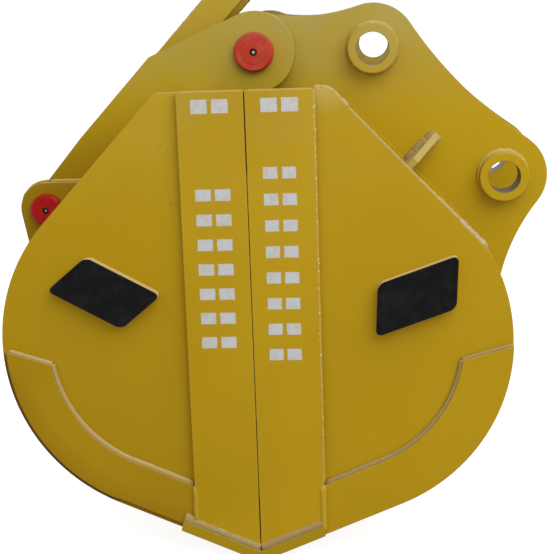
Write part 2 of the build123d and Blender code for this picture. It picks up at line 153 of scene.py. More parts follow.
class Graph:
    """The node graph of a material or of the world."""

    def __init__(self, owner: bpy.types.Material | bpy.types.World) -> None:
        """Empty the owner's graph and hold it."""
        owner.use_nodes = True
        self.owner = owner
        self.tree = owner.node_tree
        self.tree.nodes.clear()
        self._spot: bpy.types.Node | None = None

    @classmethod
    def paint(cls, name: str) -> "Graph":
        """Start the graph of a new material."""
        return cls(bpy.data.materials.new(name))

    def node(self, kind: str, settings: dict | None = None, links: dict | None = None) -> bpy.types.Node:
        """Add one node.

        Args:
            kind: the node's type.
            settings: its own properties, which are set first.
            links: values or links of its sockets, by name or number.

        Returns:
            The new node.
        """
        made = self.tree.nodes.new(kind)
        for name, value in (settings or {}).items():
            setattr(made, name, value)
        for key, value in (links or {}).items():
            socket = made.inputs[key]
            if isinstance(value, Num):
                value = value.socket
            if isinstance(value, bpy.types.NodeSocket):
                self.tree.links.new(value, socket)
            elif socket.type == "RGBA":
                socket.default_value = (*value[:3], 1.0)
            else:
                socket.default_value = value
        return made

    def math(self, operation: str, *values: Num | float) -> Num:
        """Return the result of a Math node."""
        made = self.node("ShaderNodeMath", {"operation": operation}, dict(enumerate(values)))
        return Num(self, made.outputs[0])

    def spot(self, kind: str = "Object") -> bpy.types.NodeSocket:
        """Return the point being shaded, or its normal, in the object's own frame."""
        if self._spot is None:
            self._spot = self.node("ShaderNodeTexCoord")
        return self._spot.outputs[kind]

    def axes(self, kind: str = "Object") -> tuple[Num, Num, Num]:
        """Return the three parts of the point, or of its normal."""
        parts = self.node("ShaderNodeSeparateXYZ", links={0: self.spot(kind)}).outputs
        return Num(self, parts[0]), Num(self, parts[1]), Num(self, parts[2])

    def noise(self, scale: float, detail: float, stretch: Spot = (1.0, 1.0, 1.0)) -> Num:
        """Return soft noise.

        Args:
            scale: lumps per metre.
            detail: octaves.
            stretch: scale of each axis before that.

        Returns:
            The noise, from 0 to 1.
        """
        at = self.spot()
        if stretch != (1.0, 1.0, 1.0):
            at = self.node("ShaderNodeMapping", links={"Vector": at, "Scale": stretch}).outputs[0]
        links = {"Vector": at, "Scale": scale, "Detail": detail, "Roughness": 0.55}
        return Num(self, self.node("ShaderNodeTexNoise", links=links).outputs[0])

    def blend(self, share: Num | float, first: object, second: object) -> bpy.types.NodeSocket:
        """Return a mix of two colours."""
        settings = {"data_type": "RGBA", "blend_type": "MIX", "clamp_factor": True}
        return self.node("ShaderNodeMix", settings, {0: share, 6: first, 7: second}).outputs[2]

    def from_axis(self, centre: Flat) -> Num:
        """Return the distance from a line along Y through (X, Z)."""
        x, _, z = self.axes()
        across = x - centre[0]
        up = z - centre[1]
        return (across * across + up * up).root()

    def rounded(self, radius: float) -> tuple[bpy.types.NodeSocket, Num]:
        """Return a normal that rounds sharp edges, and a mask of those edges."""
        soft = self.node("ShaderNodeBevel", {"samples": 4}, {"Radius": radius}).outputs[0]
        true = self.node("ShaderNodeNewGeometry").outputs["Normal"]
        both = self.node("ShaderNodeVectorMath", {"operation": "DOT_PRODUCT"}, {0: soft, 1: true})
        return soft, 1.0 - Num(self, both.outputs["Value"])

    def bump(self, height: Num, strength: float, depth: float,
             normal: bpy.types.NodeSocket | None = None) -> bpy.types.NodeSocket:
        """Return a bumped normal.

        Args:
            height: how high the surface stands, from 0 to about 1.
            strength: how much of the bump shows.
            depth: the height of 1 in metres.
            normal: the normal to start from, if not the mesh's own.

        Returns:
            The new normal.
        """
        links = {"Strength": strength, "Distance": depth, "Height": height}
        if normal is not None:
            links["Normal"] = normal
        return self.node("ShaderNodeBump", links=links).outputs[0]

    def close(self, links: dict) -> bpy.types.Material:
        """Add the shader and the output, and return the finished material."""
        shader = self.node("ShaderNodeBsdfPrincipled", links=links)
        self.node("ShaderNodeOutputMaterial", links={0: shader.outputs[0]})
        return self.owner


# Finishes


@dataclass(frozen=True)
class StencilBars:
    """A column of plain white stencilled bars, each with a bridge in its middle."""

    centre_x: float
    top_z: float
    count: int
    pitch: float = 0.057
    height: float = 0.027
    half_width: float = 0.043
    bridge: float = 0.010
    face_y: float = -0.528
    soft: float = 0.0011
    ragged: float = 0.004

    def mask(self, graph: Graph, wander: Num) -> Num:
        """Return where the bars are.

        Args:
            graph: the paint's graph.
            wander: noise that roughens the sprayed edges.

        Returns:
            1 inside a bar, 0 outside.
        """
        x, y, z = graph.axes()
        soft = self.soft
        stray = (wander - 0.5) * self.ragged
        rank = (self.top_z - z) / self.pitch
        rows = rank.rise(0.0, 0.01) * (self.count - rank).rise(0.0, 0.01)
        off = abs(rank.part() - 0.5) * self.pitch + stray
        bar = 1.0 - off.rise(self.height / 2 - soft, self.height / 2 + soft)
        aside = abs(x - self.centre_x) + stray
        wide = 1.0 - aside.rise(self.half_width - soft, self.half_width + soft)
        split = aside.rise(self.bridge / 2 - soft, self.bridge / 2 + soft)
        return rows * bar * wide * split * (0.0 - y).rise(-self.face_y, 0.002 - self.face_y)


@dataclass(frozen=True)
class PaintedShadeLine:
    """Painted shade on the narrow step outside a wear plate, along the arc and the bottom edge, where the
    plate's edge casts its shadow.
    """

    centre: Flat
    radius: float
    normal: Flat
    reach: float
    bend_x: float
    top_z: float
    clean: float = 0.0066
    deep: float = 0.0140
    arc_deep: float = 0.0052
    shade_reach: float = 0.075
    soft: float = 0.0012

    def _inset(self, graph: Graph) -> tuple[Num, Num]:
        """Return how far inside the outline a point lies, and 1 where that outline is the arc."""
        x, _, z = graph.axes()
        straight = self.reach - x * self.normal[0] - z * self.normal[1]
        curved = self.radius - graph.from_axis(self.centre)
        side = (self.bend_x - x).rise(0.0, 0.002)
        return straight + (curved - straight) * side, side

    def mask(self, graph: Graph) -> Num:
        """Return where the painted shade line lies: at the very edge of the arc, and inside an unshaded
        margin below.
        """
        _, _, z = graph.axes()
        inset, side = self._inset(graph)
        first = inset - self.clean * (1.0 - side)
        last = inset + side * (self.deep - self.arc_deep) - self.deep
        within = first.rise(0.0, self.soft) * (1.0 - last.rise(0.0, self.soft))
        return within * (self.top_z - z).rise(0.0, 0.01)

    def stain(self, graph: Graph) -> Num:
        """Return how much painted shade darkens the plate, fading inward from the line."""
        _, _, z = graph.axes()
        inset, _ = self._inset(graph)
        return (1.0 - inset.rise(self.arc_deep, self.shade_reach)) * (self.top_z - z).rise(0.0, 0.12)


@dataclass(frozen=True)
class YellowPaint:
    """Satin yellow enamel over welded plate, with a painted sky sheen towards the top, dust and painted
    sheen on upward faces, and pale edges that are partly wear and partly painted highlight.
    """

    name: str
    base: Colour = (0.400, 0.250, 0.0062)
    deep: Colour = (0.370, 0.225, 0.0045)
    top_sheen: Colour = (0.345, 0.290, 0.080)
    edge: Colour = (0.520, 0.385, 0.130)
    dust: Colour = (0.480, 0.380, 0.170)
    chip: Colour = (0.105, 0.075, 0.045)
    white: Colour = (0.480, 0.485, 0.490)
    steel: Colour = (0.160, 0.140, 0.110)
    rough: float = 0.44
    shine: float = 0.08
    worn_and_lit_edge_share: float = 0.70
    top_sheen_share: float = 0.45
    top_sheen_span: Flat = (-0.50, 0.10)
    top_sheen_floor: float = 0.18
    lumps: float = 0.0
    glint_speckle: float = 0.0
    glint: Colour = (0.700, 0.600, 0.360)
    # colour of a painted shade that darkens the lower part
    low: Colour | None = None
    low_shade_span: Flat = (-1.0, 0.0)
    faded_at: Flat | None = None
    faded_r: float = 0.075
    bores: tuple[tuple[Flat, float], ...] = ()
    bars: tuple[StencilBars, ...] = ()
    grime_line: PaintedShadeLine | None = None
    # colour of the painted shadow line on the ledge outside a wear plate
    grime: Colour = (0.090, 0.052, 0.008)
    # colour of the painted shade that deepens towards the outer arc
    stain: Colour = (0.235, 0.115, 0.0020)

    def material(self) -> bpy.types.Material:
        """Return the finished paint."""
        g = Graph.paint(self.name)
        _, _, z = g.axes()
        broad = g.noise(2.1, 2.0)
        cloud = g.noise(7.5, 4.0)
        grain = g.noise(70.0, 4.0)
        streak = g.noise(1.0, 3.0, (34.0, 34.0, 2.2))
        soft, sharp = g.rounded(0.0022)
        colour = g.blend(broad.rise(0.34, 0.68) * 0.75, self.base, self.deep)
        colour = g.blend(streak.rise(0.45, 0.75) * 0.16, colour, self.deep)
        # painted shade: darker paint towards the bottom
        if self.low:
            colour = g.blend(1.0 - z.rise(*self.low_shade_span), colour, self.low)
        # painted sky sheen: greyer, paler paint towards the top, in patches
        patchy = self.top_sheen_floor + (0.80 - self.top_sheen_floor) * cloud.rise(0.35, 0.72)
        sheen_amount = z.rise(*self.top_sheen_span) * patchy
        colour = g.blend(sheen_amount * self.top_sheen_share, colour, self.top_sheen)
        if self.faded_at:
            spot = 1.0 - g.from_axis(self.faded_at).rise(0.0, self.faded_r)
            colour = g.blend(spot * (0.35 + 0.40 * cloud), colour, self.edge)
        # dust settled on upward faces, together with a painted sky sheen that pales them
        _, _, upward = g.axes("Normal")
        settled_dust_and_sheen = upward.rise(0.30, 0.95) * (0.40 + 0.45 * cloud)
        colour = g.blend(settled_dust_and_sheen, colour, self.dust)
        # pale edges: partly worn paint, partly a painted highlight where edges catch the light
        worn_and_lit_edge = sharp.rise(0.02, 0.16) * (0.35 + 0.65 * grain.rise(0.36, 0.60))
        colour = g.blend(worn_and_lit_edge * self.worn_and_lit_edge_share, colour, self.edge)
        nick = g.noise(58.0, 2.0).rise(0.775, 0.800) * cloud.rise(0.45, 0.62)
        colour = g.blend(nick * 0.65, colour, self.chip)
        # painted glints: pale specks on the weld that stand in for highlights
        if self.glint_speckle:
            glint_fleck = g.noise(150.0, 2.0).rise(0.60, 0.68)
            colour = g.blend(glint_fleck * self.glint_speckle, colour, self.glint)
        gloss = self.rough + 0.10 * cloud + 0.12 * sheen_amount - 0.05 * nick
        height = g.noise(430.0, 2.0) * 0.10 + g.noise(16.0, 2.0) * 0.6 - nick * 0.35
        metal = None
        if self.lumps:
            height = height + g.noise(170.0, 3.0) * self.lumps + g.noise(620.0, 2.0) * (0.4 * self.lumps)
        if self.grime_line:
            # painted shade: the plate darkens towards its outer arc, fading inward
            colour = g.blend(self.grime_line.stain(g) * 0.40, colour, self.stain)
            # painted shade: a dark line on the ledge outside the wear plate, where that plate's edge casts
            # its shadow
            colour = g.blend(self.grime_line.mask(g) * 0.90, colour, self.grime)
        for bars in self.bars:
            mark = bars.mask(g, grain) * (0.72 + 0.28 * grain.rise(0.30, 0.55))
            colour = g.blend(mark, colour, self.white)
            gloss = gloss + mark * 0.12
        for centre, radius in self.bores:
            inside = 1.0 - g.from_axis(centre).rise(radius, radius + 0.0008)
            colour = g.blend(inside, colour, g.blend(cloud, self.steel, self.chip))
            gloss = gloss - inside * 0.08
            metal = inside if metal is None else metal.most(inside)
        links = {"Base Color": colour, "Roughness": gloss, "Normal": g.bump(height, 0.35, 0.0016, soft),
                 "Specular IOR Level": self.shine}
        if metal is not None:
            links["Metallic"] = metal * 0.50
        return g.close(links)


@dataclass(frozen=True)
class BadgePaint:
    """Matt black on the face of a blank raised plate, with pale paint on its sides."""

    name: str
    black: Colour = (0.0050, 0.0046, 0.0052)
    grey: Colour = (0.013, 0.012, 0.013)
    side: Colour = (0.500, 0.395, 0.150)
    face_y: float = -0.5400
    shine: float = 0.05

    def material(self) -> bpy.types.Material:
        """Return the finished paint."""
        g = Graph.paint(self.name)
        _, y, _ = g.axes()
        cloud = g.noise(24.0, 4.0)
        grain = g.noise(240.0, 3.0)
        soft, sharp = g.rounded(0.0016)
        colour = g.blend(cloud.rise(0.40, 0.72) * 0.8, self.black, self.grey)
        colour = g.blend(sharp.rise(0.03, 0.2) * 0.35, colour, self.grey)
        flank = (y - self.face_y + (grain - 0.5) * 0.0016).rise(-0.0008, 0.0008)
        colour = g.blend(flank, colour, self.side)
        gloss = 0.48 + 0.16 * cloud + 0.05 * flank
        normal = g.bump(grain, 0.30, 0.0012, soft)
        return g.close({"Base Color": colour, "Roughness": gloss, "Normal": normal,
                        "Specular IOR Level": self.shine})


@dataclass(frozen=True)
class RedPaint:
    """Red enamel of a pin cap, with one turned ring and a dark nipple well."""

    name: str
    centre: Flat
    ring_r: float
    well_r: float
    base: Colour
    faded: Colour
    rough: float
    shine: float
    ring_share: float
    dust: Colour = (0.255, 0.070, 0.042)
    dust_share: float = 0.0
    grease: Colour = (0.012, 0.010, 0.009)

    def material(self) -> bpy.types.Material:
        """Return the finished paint."""
        g = Graph.paint(self.name)
        away = g.from_axis(self.centre)
        cloud = g.noise(38.0, 4.0)
        grain = g.noise(420.0, 2.0)
        soft, sharp = g.rounded(0.0014)
        ring = 1.0 - abs(away - self.ring_r).rise(0.0006, 0.0022)
        colour = g.blend(cloud.rise(0.38, 0.70), self.base, self.faded)
        dark = tuple(0.45 * part for part in self.base)
        # painted shade in the turned groove: the ring is darkened as well as sunk
        colour = g.blend(ring * self.ring_share, colour, dark)
        colour = g.blend(sharp.rise(0.02, 0.2) * 0.5, colour, self.faded)
        # dust on the cap's upward faces, together with a painted sheen that dulls its top
        if self.dust_share:
            _, _, upward = g.axes("Normal")
            colour = g.blend(upward.rise(0.15, 0.65) * self.dust_share, colour, self.dust)
        well = 1.0 - away.rise(self.well_r - 0.0004, self.well_r + 0.0006)
        colour = g.blend(well * 0.92, colour, self.grease)
        height = grain * 0.12 + cloud * 0.25 - ring * (1.45 * self.ring_share)
        gloss = self.rough + 0.14 * cloud
        normal = g.bump(height, 0.45, 0.0015, soft)
        return g.close({"Base Color": colour, "Roughness": gloss, "Normal": normal,
                        "Specular IOR Level": self.shine})


@dataclass(frozen=True)
class BareMetal:
    """Turned or plated metal with fine rings along Y and grease stains."""

    name: str
    base: Colour
    stain: Colour
    rough: float
    heads: tuple[tuple[Flat, float], ...] = ()
    grimy_r: float = 0.020

    def material(self) -> bpy.types.Material:
        """Return the finished metal."""
        g = Graph.paint(self.name)
        cloud = g.noise(30.0, 4.0)
        turned = g.noise(1.0, 2.0, (40.0, 1600.0, 40.0))
        colour = g.blend(cloud.rise(0.42, 0.75) * 0.7, self.base, self.stain)
        for head, clean_r in self.heads:
            around = g.from_axis(head)
            outside = around.rise(self.grimy_r, self.grimy_r + 0.001)
            grimy = around.rise(clean_r, clean_r + 0.0004) * (1.0 - outside)
            colour = g.blend(grimy * 0.85, colour, self.stain)
        gloss = self.rough + 0.15 * cloud + 0.06 * turned
        return g.close({"Base Color": colour, "Roughness": gloss, "Normal": g.bump(turned, 0.2, 0.0006),
                        "Metallic": 1.0})


# Shapes shared by the pieces


def unit(deg: float) -> Vector:
    """Return the plane unit vector at an angle."""
    return Vector((math.cos(math.radians(deg)), math.sin(math.radians(deg))))


@dataclass(frozen=True)
class JawShape:
    """The outline that both jaws share, in (u, w): u away from the seam, w up from the top edge."""

    hinge_to_stick: float = 0.292
    hinge_above_jaw: float = 0.077
    top_edge: float = 0.209
    slant_deg: float = 43.3
    slant_len: float = 0.412
    tip_drop: float = 1.141
    bottom_deg: float = 23.0
    strip_w: float = 0.156
    wear_w: float = 0.115
    wear_in_deg: float = -8.0
    wear_out_deg: float = -1.6
    lip_t: float = 0.025
    wrap_inset: float = 0.025
    corner_r: float = 0.040
    bar_drop: float = 0.022
    bar_start: float = 0.118
    side_in: float = 0.499
    side_out: float = 0.515
    strip_out: float = 0.5335

    @property
    def out(self) -> Vector:
        """Return the outward normal of the slanted edge."""
        return unit(self.slant_deg)

    @property
    def down(self) -> Vector:
        """Return the direction down the slanted edge."""
        return Vector((self.out.y, -self.out.x))

    @property
    def corner(self) -> Vector:
        """Return the top end of the slanted edge."""
        return Vector((self.top_edge, 0.0))

    @property
    def arc_end(self) -> float:
        """Return the angle at which the arc meets the bottom edge."""
        return self.bottom_deg - 90.0

    @property
    def reach(self) -> float:
        """Return how far the bottom edge lies from the local origin."""
        return self.tip_drop * math.cos(math.radians(self.bottom_deg))

    @property
    def arc_r(self) -> float:
        """Return the radius of the arc between the slanted and the bottom edge."""
        low = unit(self.arc_end)
        end = self.corner + self.down * self.slant_len
        return (self.reach - low.dot(end)) / (1.0 - self.out.dot(low))

    @property
    def arc_c(self) -> Vector:
        """Return the centre of that arc."""
        return self.corner + self.down * self.slant_len - self.out * self.arc_r

    def on_arc(self, deg: float, inset: float = 0.0) -> Vector:
        """Return a point of the arc, moved inward."""
        return self.arc_c + unit(deg) * (self.arc_r - inset)

    def on_bottom(self, u: float, inset: float = 0.0) -> Vector:
        """Return a point of the bottom edge, moved inward."""
        low = unit(self.arc_end)
        return Vector((u, (self.reach - inset - low.x * u) / low.y))

    def space(self, jaw: Jaw, at: Vector, y: float) -> Vector:
        """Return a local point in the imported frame."""
        return Vector((-self.hinge_to_stick + jaw.value * at.x, y, -self.hinge_above_jaw + at.y))


@dataclass(frozen=True)
class PinLines:
    """Where the pins' lines along Y cross the mid plane, in (X, Z)."""

    stick: Flat = (0.0, 0.0)
    link: Flat = (0.321, -0.325)
    hinge: Flat = (-0.292, 0.0)
    arm: Flat = (-0.832347, -0.377583)
    head: Flat = (-0.162176, 0.364935)


SHAPE = JawShape()
PINS = PinLines()
# How far a bead's middle lies off the line where its plates meet
OFF_JOINT = 0.001


def edit_new() -> bpy.types.Object:
    """Put a new primitive's place into its mesh, enter edit mode and return the object."""
    made = bpy.context.object
    bpy.ops.object.transform_apply(location=True, rotation=True, scale=True)
    bpy.ops.object.mode_set(mode="EDIT")
    return made


class Welder:
    """Models weld runs with mesh operators and joins them into one piece."""

    sides = 8
    pitch = 0.0052
    most_rings = 101
    ripple_share = 0.12
    most_ripple = 0.0009
    tip_rings = 4
    tip_end = 0.35
    tip_next = 0.78
    lump_size = 0.011
    doubles = 1e-6

    def __init__(self) -> None:
        """Start with no runs."""
        self.runs: list[bpy.types.Object] = []

    def _keep(self, made: bpy.types.Object, ring_of: RingOf, ripple: float) -> None:
        """Swell every second ring of a run, and keep the run.

        Args:
            made: the run, in edit mode.
            ring_of: gives a vertex's ring number.
            ripple: how far the rings swell.
        """
        bpy.ops.mesh.select_mode(type="VERT")
        bpy.ops.mesh.select_all(action="DESELECT")
        mesh = bmesh.from_edit_mesh(made.data)
        mesh.verts.ensure_lookup_table()
        for vert in mesh.verts:
            vert.select_set(ring_of(vert) % 2 == 1)
        bmesh.update_edit_mesh(made.data)
        bpy.ops.transform.shrink_fatten(value=ripple)
        bpy.ops.mesh.select_all(action="SELECT")
        bpy.ops.mesh.remove_doubles(threshold=self.doubles)
        bpy.ops.mesh.normals_make_consistent(inside=False)
        bpy.ops.object.mode_set(mode="OBJECT")
        self.runs.append(made)

    @staticmethod
    def _taper(made: bpy.types.Object, ring_of: RingOf, rings: dict[int, float]) -> None:
        """Narrow some rings of a run, so that it ends in a rounded tip.

        Args:
            made: the run, in edit mode.
            ring_of: gives a vertex's ring number.
            rings: the share of its width that each ring keeps.
        """
        bpy.ops.mesh.select_mode(type="VERT")
        for number, share in rings.items():
            bpy.ops.mesh.select_all(action="DESELECT")
            mesh = bmesh.from_edit_mesh(made.data)
            picked = [vert for vert in mesh.verts if ring_of(vert) == number]
            for vert in picked:
                vert.select_set(True)
            middle = sum((vert.co for vert in picked), Vector()) / len(picked)
            bmesh.update_edit_mesh(made.data)
            bpy.ops.transform.resize(value=(share, share, share), center_override=middle)

    def straight(self, start: Vector, end: Vector, radius: float,
                 tips: tuple[bool, bool] = (True, True)) -> None:
        """Add a straight run.

        Args:
            start: one end.
            end: the other end.
            radius: half the bead's thickness.
            tips: whether each end is rounded off.
        """
        run = end - start
        turn = run.to_track_quat("Z", "Y").to_euler()
        bpy.ops.object.select_all(action="DESELECT")
        bpy.ops.mesh.primitive_cylinder_add(vertices=self.sides, radius=radius, depth=run.length,
                                            location=(start + end) / 2, rotation=turn)
        made = edit_new()
        bpy.ops.mesh.select_mode(type="EDGE")
        bpy.ops.mesh.select_all(action="DESELECT")
        mesh = bmesh.from_edit_mesh(made.data)
        for edge in mesh.edges:
            edge.select_set(edge.calc_length() > 0.9 * run.length)
        bmesh.update_edit_mesh(made.data)
        rings = min(self.most_rings, max(2, round(run.length / self.pitch)))
        bpy.ops.mesh.subdivide(number_cuts=rings - 1)
        way = run.normalized()
        step = run.length / rings

        def ring_of(vert: bmesh.types.BMVert) -> int:
            """Return the ring that a vertex lies on."""
            return round((vert.co - start).dot(way) / step)

        if rings > self.tip_rings:
            first = {0: self.tip_end, 1: self.tip_next} if tips[0] else {}
            last = {rings - 1: self.tip_next, rings: self.tip_end} if tips[1] else {}
            self._taper(made, ring_of, {**first, **last})
        self._keep(made, ring_of, min(self.ripple_share * radius, self.most_ripple))

    def curved(self, centre: Vector, start: Vector, angle: float, radius: float) -> None:
        """Add a run round a line along Y.

        Args:
            centre: a point of that line.
            start: the first end.
            angle: the turn in radians, from +X towards +Z.
            radius: half the bead's thickness.
        """
        arm = start - centre
        bpy.ops.object.select_all(action="DESELECT")
        tangent = Vector((-arm.z, 0.0, arm.x)).to_track_quat("Z", "Y").to_euler()
        bpy.ops.mesh.primitive_circle_add(vertices=self.sides, radius=radius, location=start,
                                          rotation=tangent)
        made = edit_new()
        bpy.ops.mesh.select_all(action="SELECT")
        steps = max(2, round(abs(angle) * arm.length / self.pitch))
        bpy.ops.mesh.spin(steps=steps, angle=angle, center=centre, axis=(0.0, 1.0, 0.0))
        bpy.ops.mesh.select_all(action="SELECT")
        bpy.ops.mesh.fill_holes(sides=self.sides)
        self._keep(made, lambda vert: vert.index // self.sides, self.ripple_share * radius)

    def ring(self, centre: Vector, major: float, radius: float) -> None:
        """Add a closed ring round a line along Y.

        Args:
            centre: the ring's centre.
            major: its radius.
            radius: half the bead's thickness.
        """
        rings = 2 * round(math.pi * major / self.pitch)
        bpy.ops.object.select_all(action="DESELECT")
        bpy.ops.mesh.primitive_torus_add(major_radius=major, minor_radius=radius, major_segments=rings,
                                         minor_segments=self.sides, location=centre,
                                         rotation=(math.pi / 2, 0.0, 0.0))
        made = edit_new()
        self._keep(made, lambda vert: vert.index // self.sides, self.ripple_share * radius)

    def join(self, name: str, body: str, paint: bpy.types.Material, lump: float) -> None:
        """Join the runs into one lumpy piece.

        Args:
            name: the piece's name.
            body: the CAD body that it rides on.
            paint: its finish.
            lump: how far the bead wanders.
        """
        bpy.ops.object.select_all(action="DESELECT")
        for run in self.runs:
            run.select_set(True)
        piece = self.runs[0]
        bpy.context.view_layer.objects.active = piece
        if len(self.runs) > 1:
            bpy.ops.object.join()
        self.runs = []
        piece.name = name
        piece.data.name = name
        clouds = bpy.data.textures.new(name, "CLOUDS")
        clouds.noise_scale = self.lump_size
        swell = piece.modifiers.new("lumps", "DISPLACE")
        swell.texture = clouds
        swell.texture_coords = "LOCAL"
        swell.mid_level = 0.5
        swell.strength = lump
        bpy.ops.object.modifier_apply(modifier=swell.name)
        bpy.ops.object.shade_smooth()
        piece.data.materials.clear()
        piece.data.materials.append(paint)
        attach(piece, body)
        LOG.info("piece %s on %s: %d faces", name, body, len(piece.data.polygons))


def dress(paint: bpy.types.Material, *nodes: str) -> None:
    """Give CAD nodes a finish."""
    for name in nodes:
        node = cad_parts[name]
        node.data.materials.clear()
        node.data.materials.append(paint)
        LOG.info("node %s wears %s", name, paint.name)


# Finishes of this bucket


def finished(*finishes: YellowPaint | BadgePaint | RedPaint | BareMetal) -> Paints:
    """Return the materials of some finishes, by the finishes' names."""
    return {finish.name: finish.material() for finish in finishes}


def front_shade_line() -> PaintedShadeLine:
    """Return the painted shade line outside the front jaw's wear plates."""
    low = unit(SHAPE.arc_end)
    middle = SHAPE.space(Jaw.FRONT, SHAPE.arc_c, 0.0)
    bend = SHAPE.space(Jaw.FRONT, SHAPE.on_arc(SHAPE.arc_end), 0.0)
    return PaintedShadeLine((middle.x, middle.z), SHAPE.arc_r, (-low.x, low.y),
                     reach=bend.z * low.y - bend.x * low.x, bend_x=bend.x, top_z=middle.z - 0.012)


def jaw_paints() -> Paints:
    """Return the paints of the jaws' plates."""
    line = front_shade_line()
    strip = {"base": (0.428, 0.268, 0.0075), "top_sheen_share": 0.42}
    rear_bars = (StencilBars(-0.2160, -0.234, 8, 0.0615, half_width=0.038),
                 StencilBars(-0.2120, -0.0815, 1, height=0.032))
    front_bars = (StencilBars(-0.3720, -0.284, 7, 0.0585, half_width=0.041),
                  StencilBars(-0.3720, -0.0815, 1, height=0.032))
    return finished(
        YellowPaint("yellow_plate"),
        YellowPaint("yellow_back", dust=(0.390, 0.245, 0.0060), worn_and_lit_edge_share=0.20),
        YellowPaint("yellow_lip", base=(0.350, 0.228, 0.0056), deep=(0.325, 0.203, 0.0045)),
        YellowPaint("yellow_rear_side", top_sheen_share=0.25, faded_at=(-0.110, -0.072)),
        # painted light: a darker copy of the plate paint, shaded towards the bottom, with a brighter
        # painted sheen at the top
        YellowPaint("yellow_front_side_shaded", base=(0.390, 0.242, 0.0056), deep=(0.366, 0.221, 0.0043),
                    top_sheen=(0.450, 0.320, 0.030), top_sheen_share=0.75, top_sheen_span=(-0.42, -0.04), top_sheen_floor=0.45,
                    low=(0.350, 0.213, 0.0040), low_shade_span=(-1.05, -0.40), grime_line=line),
        # painted shade: a darker copy of the plate paint for the front wear plates
        YellowPaint("yellow_front_wear_shaded", base=(0.360, 0.219, 0.0045), deep=(0.322, 0.187, 0.0036),
                    grime_line=line),
        YellowPaint("yellow_rear_strip", bars=rear_bars, **strip),
        YellowPaint("yellow_front_strip", bars=front_bars, **strip),
        BadgePaint("black_badge"))


def upper_paints() -> Paints:
    """Return the paints of the ears, the hinge plates and the arm, with a painted sky sheen at the top."""
    high = {"top_sheen": (0.345, 0.302, 0.108), "top_sheen_share": 1.0, "top_sheen_floor": 0.40}
    bores = ((PINS.stick, 0.0404), (PINS.link, 0.0404), (PINS.head, 0.0304))
    return finished(
        # painted shade darkens the hinge plates' lower part; painted sky sheen pales their top
        YellowPaint("yellow_hinge_plate", base=(0.410, 0.276, 0.0075), deep=(0.394, 0.260, 0.0060),
                    low=(0.285, 0.165, 0.0025), low_shade_span=(-0.34, -0.06), top_sheen_span=(-0.15, 0.11), **high),
        YellowPaint("yellow_bored", base=(0.408, 0.268, 0.0062), deep=(0.396, 0.256, 0.0055),
                    top_sheen_span=(-0.20, 0.12), bores=bores, **high),
        YellowPaint("yellow_gusset", base=(0.400, 0.310, 0.082), deep=(0.355, 0.260, 0.054)),
        YellowPaint("yellow_arm", base=(0.440, 0.282, 0.0080), deep=(0.400, 0.245, 0.0055),
                    top_sheen=(0.410, 0.330, 0.075), top_sheen_share=0.70, top_sheen_span=(-0.24, 0.12)),
        # painted bounce light: a far lighter yellow on the arm's bottom plate, standing in for light its
        # shaded underside lacks
        YellowPaint("yellow_arm_under_painted_bounce", base=(0.760, 0.540, 0.0400), deep=(0.720, 0.500, 0.0300),
                    top_sheen_share=0.0))


def weld_paints() -> Paints:
    """Return the paints of the weld beads, from clean yellow to scorched brown."""
    return finished(
        YellowPaint("yellow_weld", base=(0.440, 0.285, 0.016), deep=(0.380, 0.230, 0.010),
                    rough=0.34, shine=0.15, worn_and_lit_edge_share=0.20, lumps=1.2),
        YellowPaint("boss_weld", base=(0.440, 0.290, 0.025), deep=(0.370, 0.225, 0.014),
                    rough=0.34, shine=0.20, worn_and_lit_edge_share=0.20, lumps=1.8, glint_speckle=0.40),
        YellowPaint("spattered_weld", base=(0.430, 0.285, 0.020), deep=(0.380, 0.240, 0.012),
                    rough=0.22, shine=0.35, worn_and_lit_edge_share=0.25, lumps=2.0, glint_speckle=0.80),
        YellowPaint("tan_weld", base=(0.385, 0.272, 0.095), deep=(0.355, 0.232, 0.060),
                    rough=0.46, shine=0.15, worn_and_lit_edge_share=0.35, lumps=1.2),
        YellowPaint("brown_weld", base=(0.310, 0.210, 0.075), deep=(0.280, 0.180, 0.048),
                    dust=(0.340, 0.250, 0.110), rough=0.46, shine=0.15, worn_and_lit_edge_share=0.25, lumps=1.2),
        YellowPaint("front_lip_weld", base=(0.345, 0.252, 0.104), deep=(0.312, 0.216, 0.068),
                    dust=(0.385, 0.285, 0.125), rough=0.50, shine=0.12, worn_and_lit_edge_share=0.20, lumps=1.6,
                    glint_speckle=0.22),
        YellowPaint("rear_lip_weld", base=(0.330, 0.225, 0.095), deep=(0.300, 0.195, 0.065),
                    dust=(0.350, 0.250, 0.115), rough=0.50, shine=0.12, worn_and_lit_edge_share=0.20, lumps=1.6,
                    glint_speckle=0.12),
        YellowPaint("pale_weld", base=(0.480, 0.390, 0.175), deep=(0.360, 0.270, 0.095),
                    rough=0.30, shine=0.50, lumps=1.6),
        YellowPaint("scorched_weld", base=(0.300, 0.210, 0.100), deep=(0.260, 0.170, 0.065),
                    dust=(0.300, 0.210, 0.100), rough=0.46, shine=0.12, worn_and_lit_edge_share=0.20, lumps=1.8,
                    glint_speckle=0.55),
        YellowPaint("pale_rim", base=(0.420, 0.300, 0.090), deep=(0.375, 0.250, 0.055),
                    dust=(0.410, 0.300, 0.110), rough=0.42, shine=0.15, worn_and_lit_edge_share=0.30, lumps=1.4),
        YellowPaint("rough_foot_weld", base=(0.400, 0.310, 0.120), deep=(0.270, 0.190, 0.065),
                    dust=(0.360, 0.260, 0.095), rough=0.24, shine=0.45, lumps=2.4, glint_speckle=0.70))


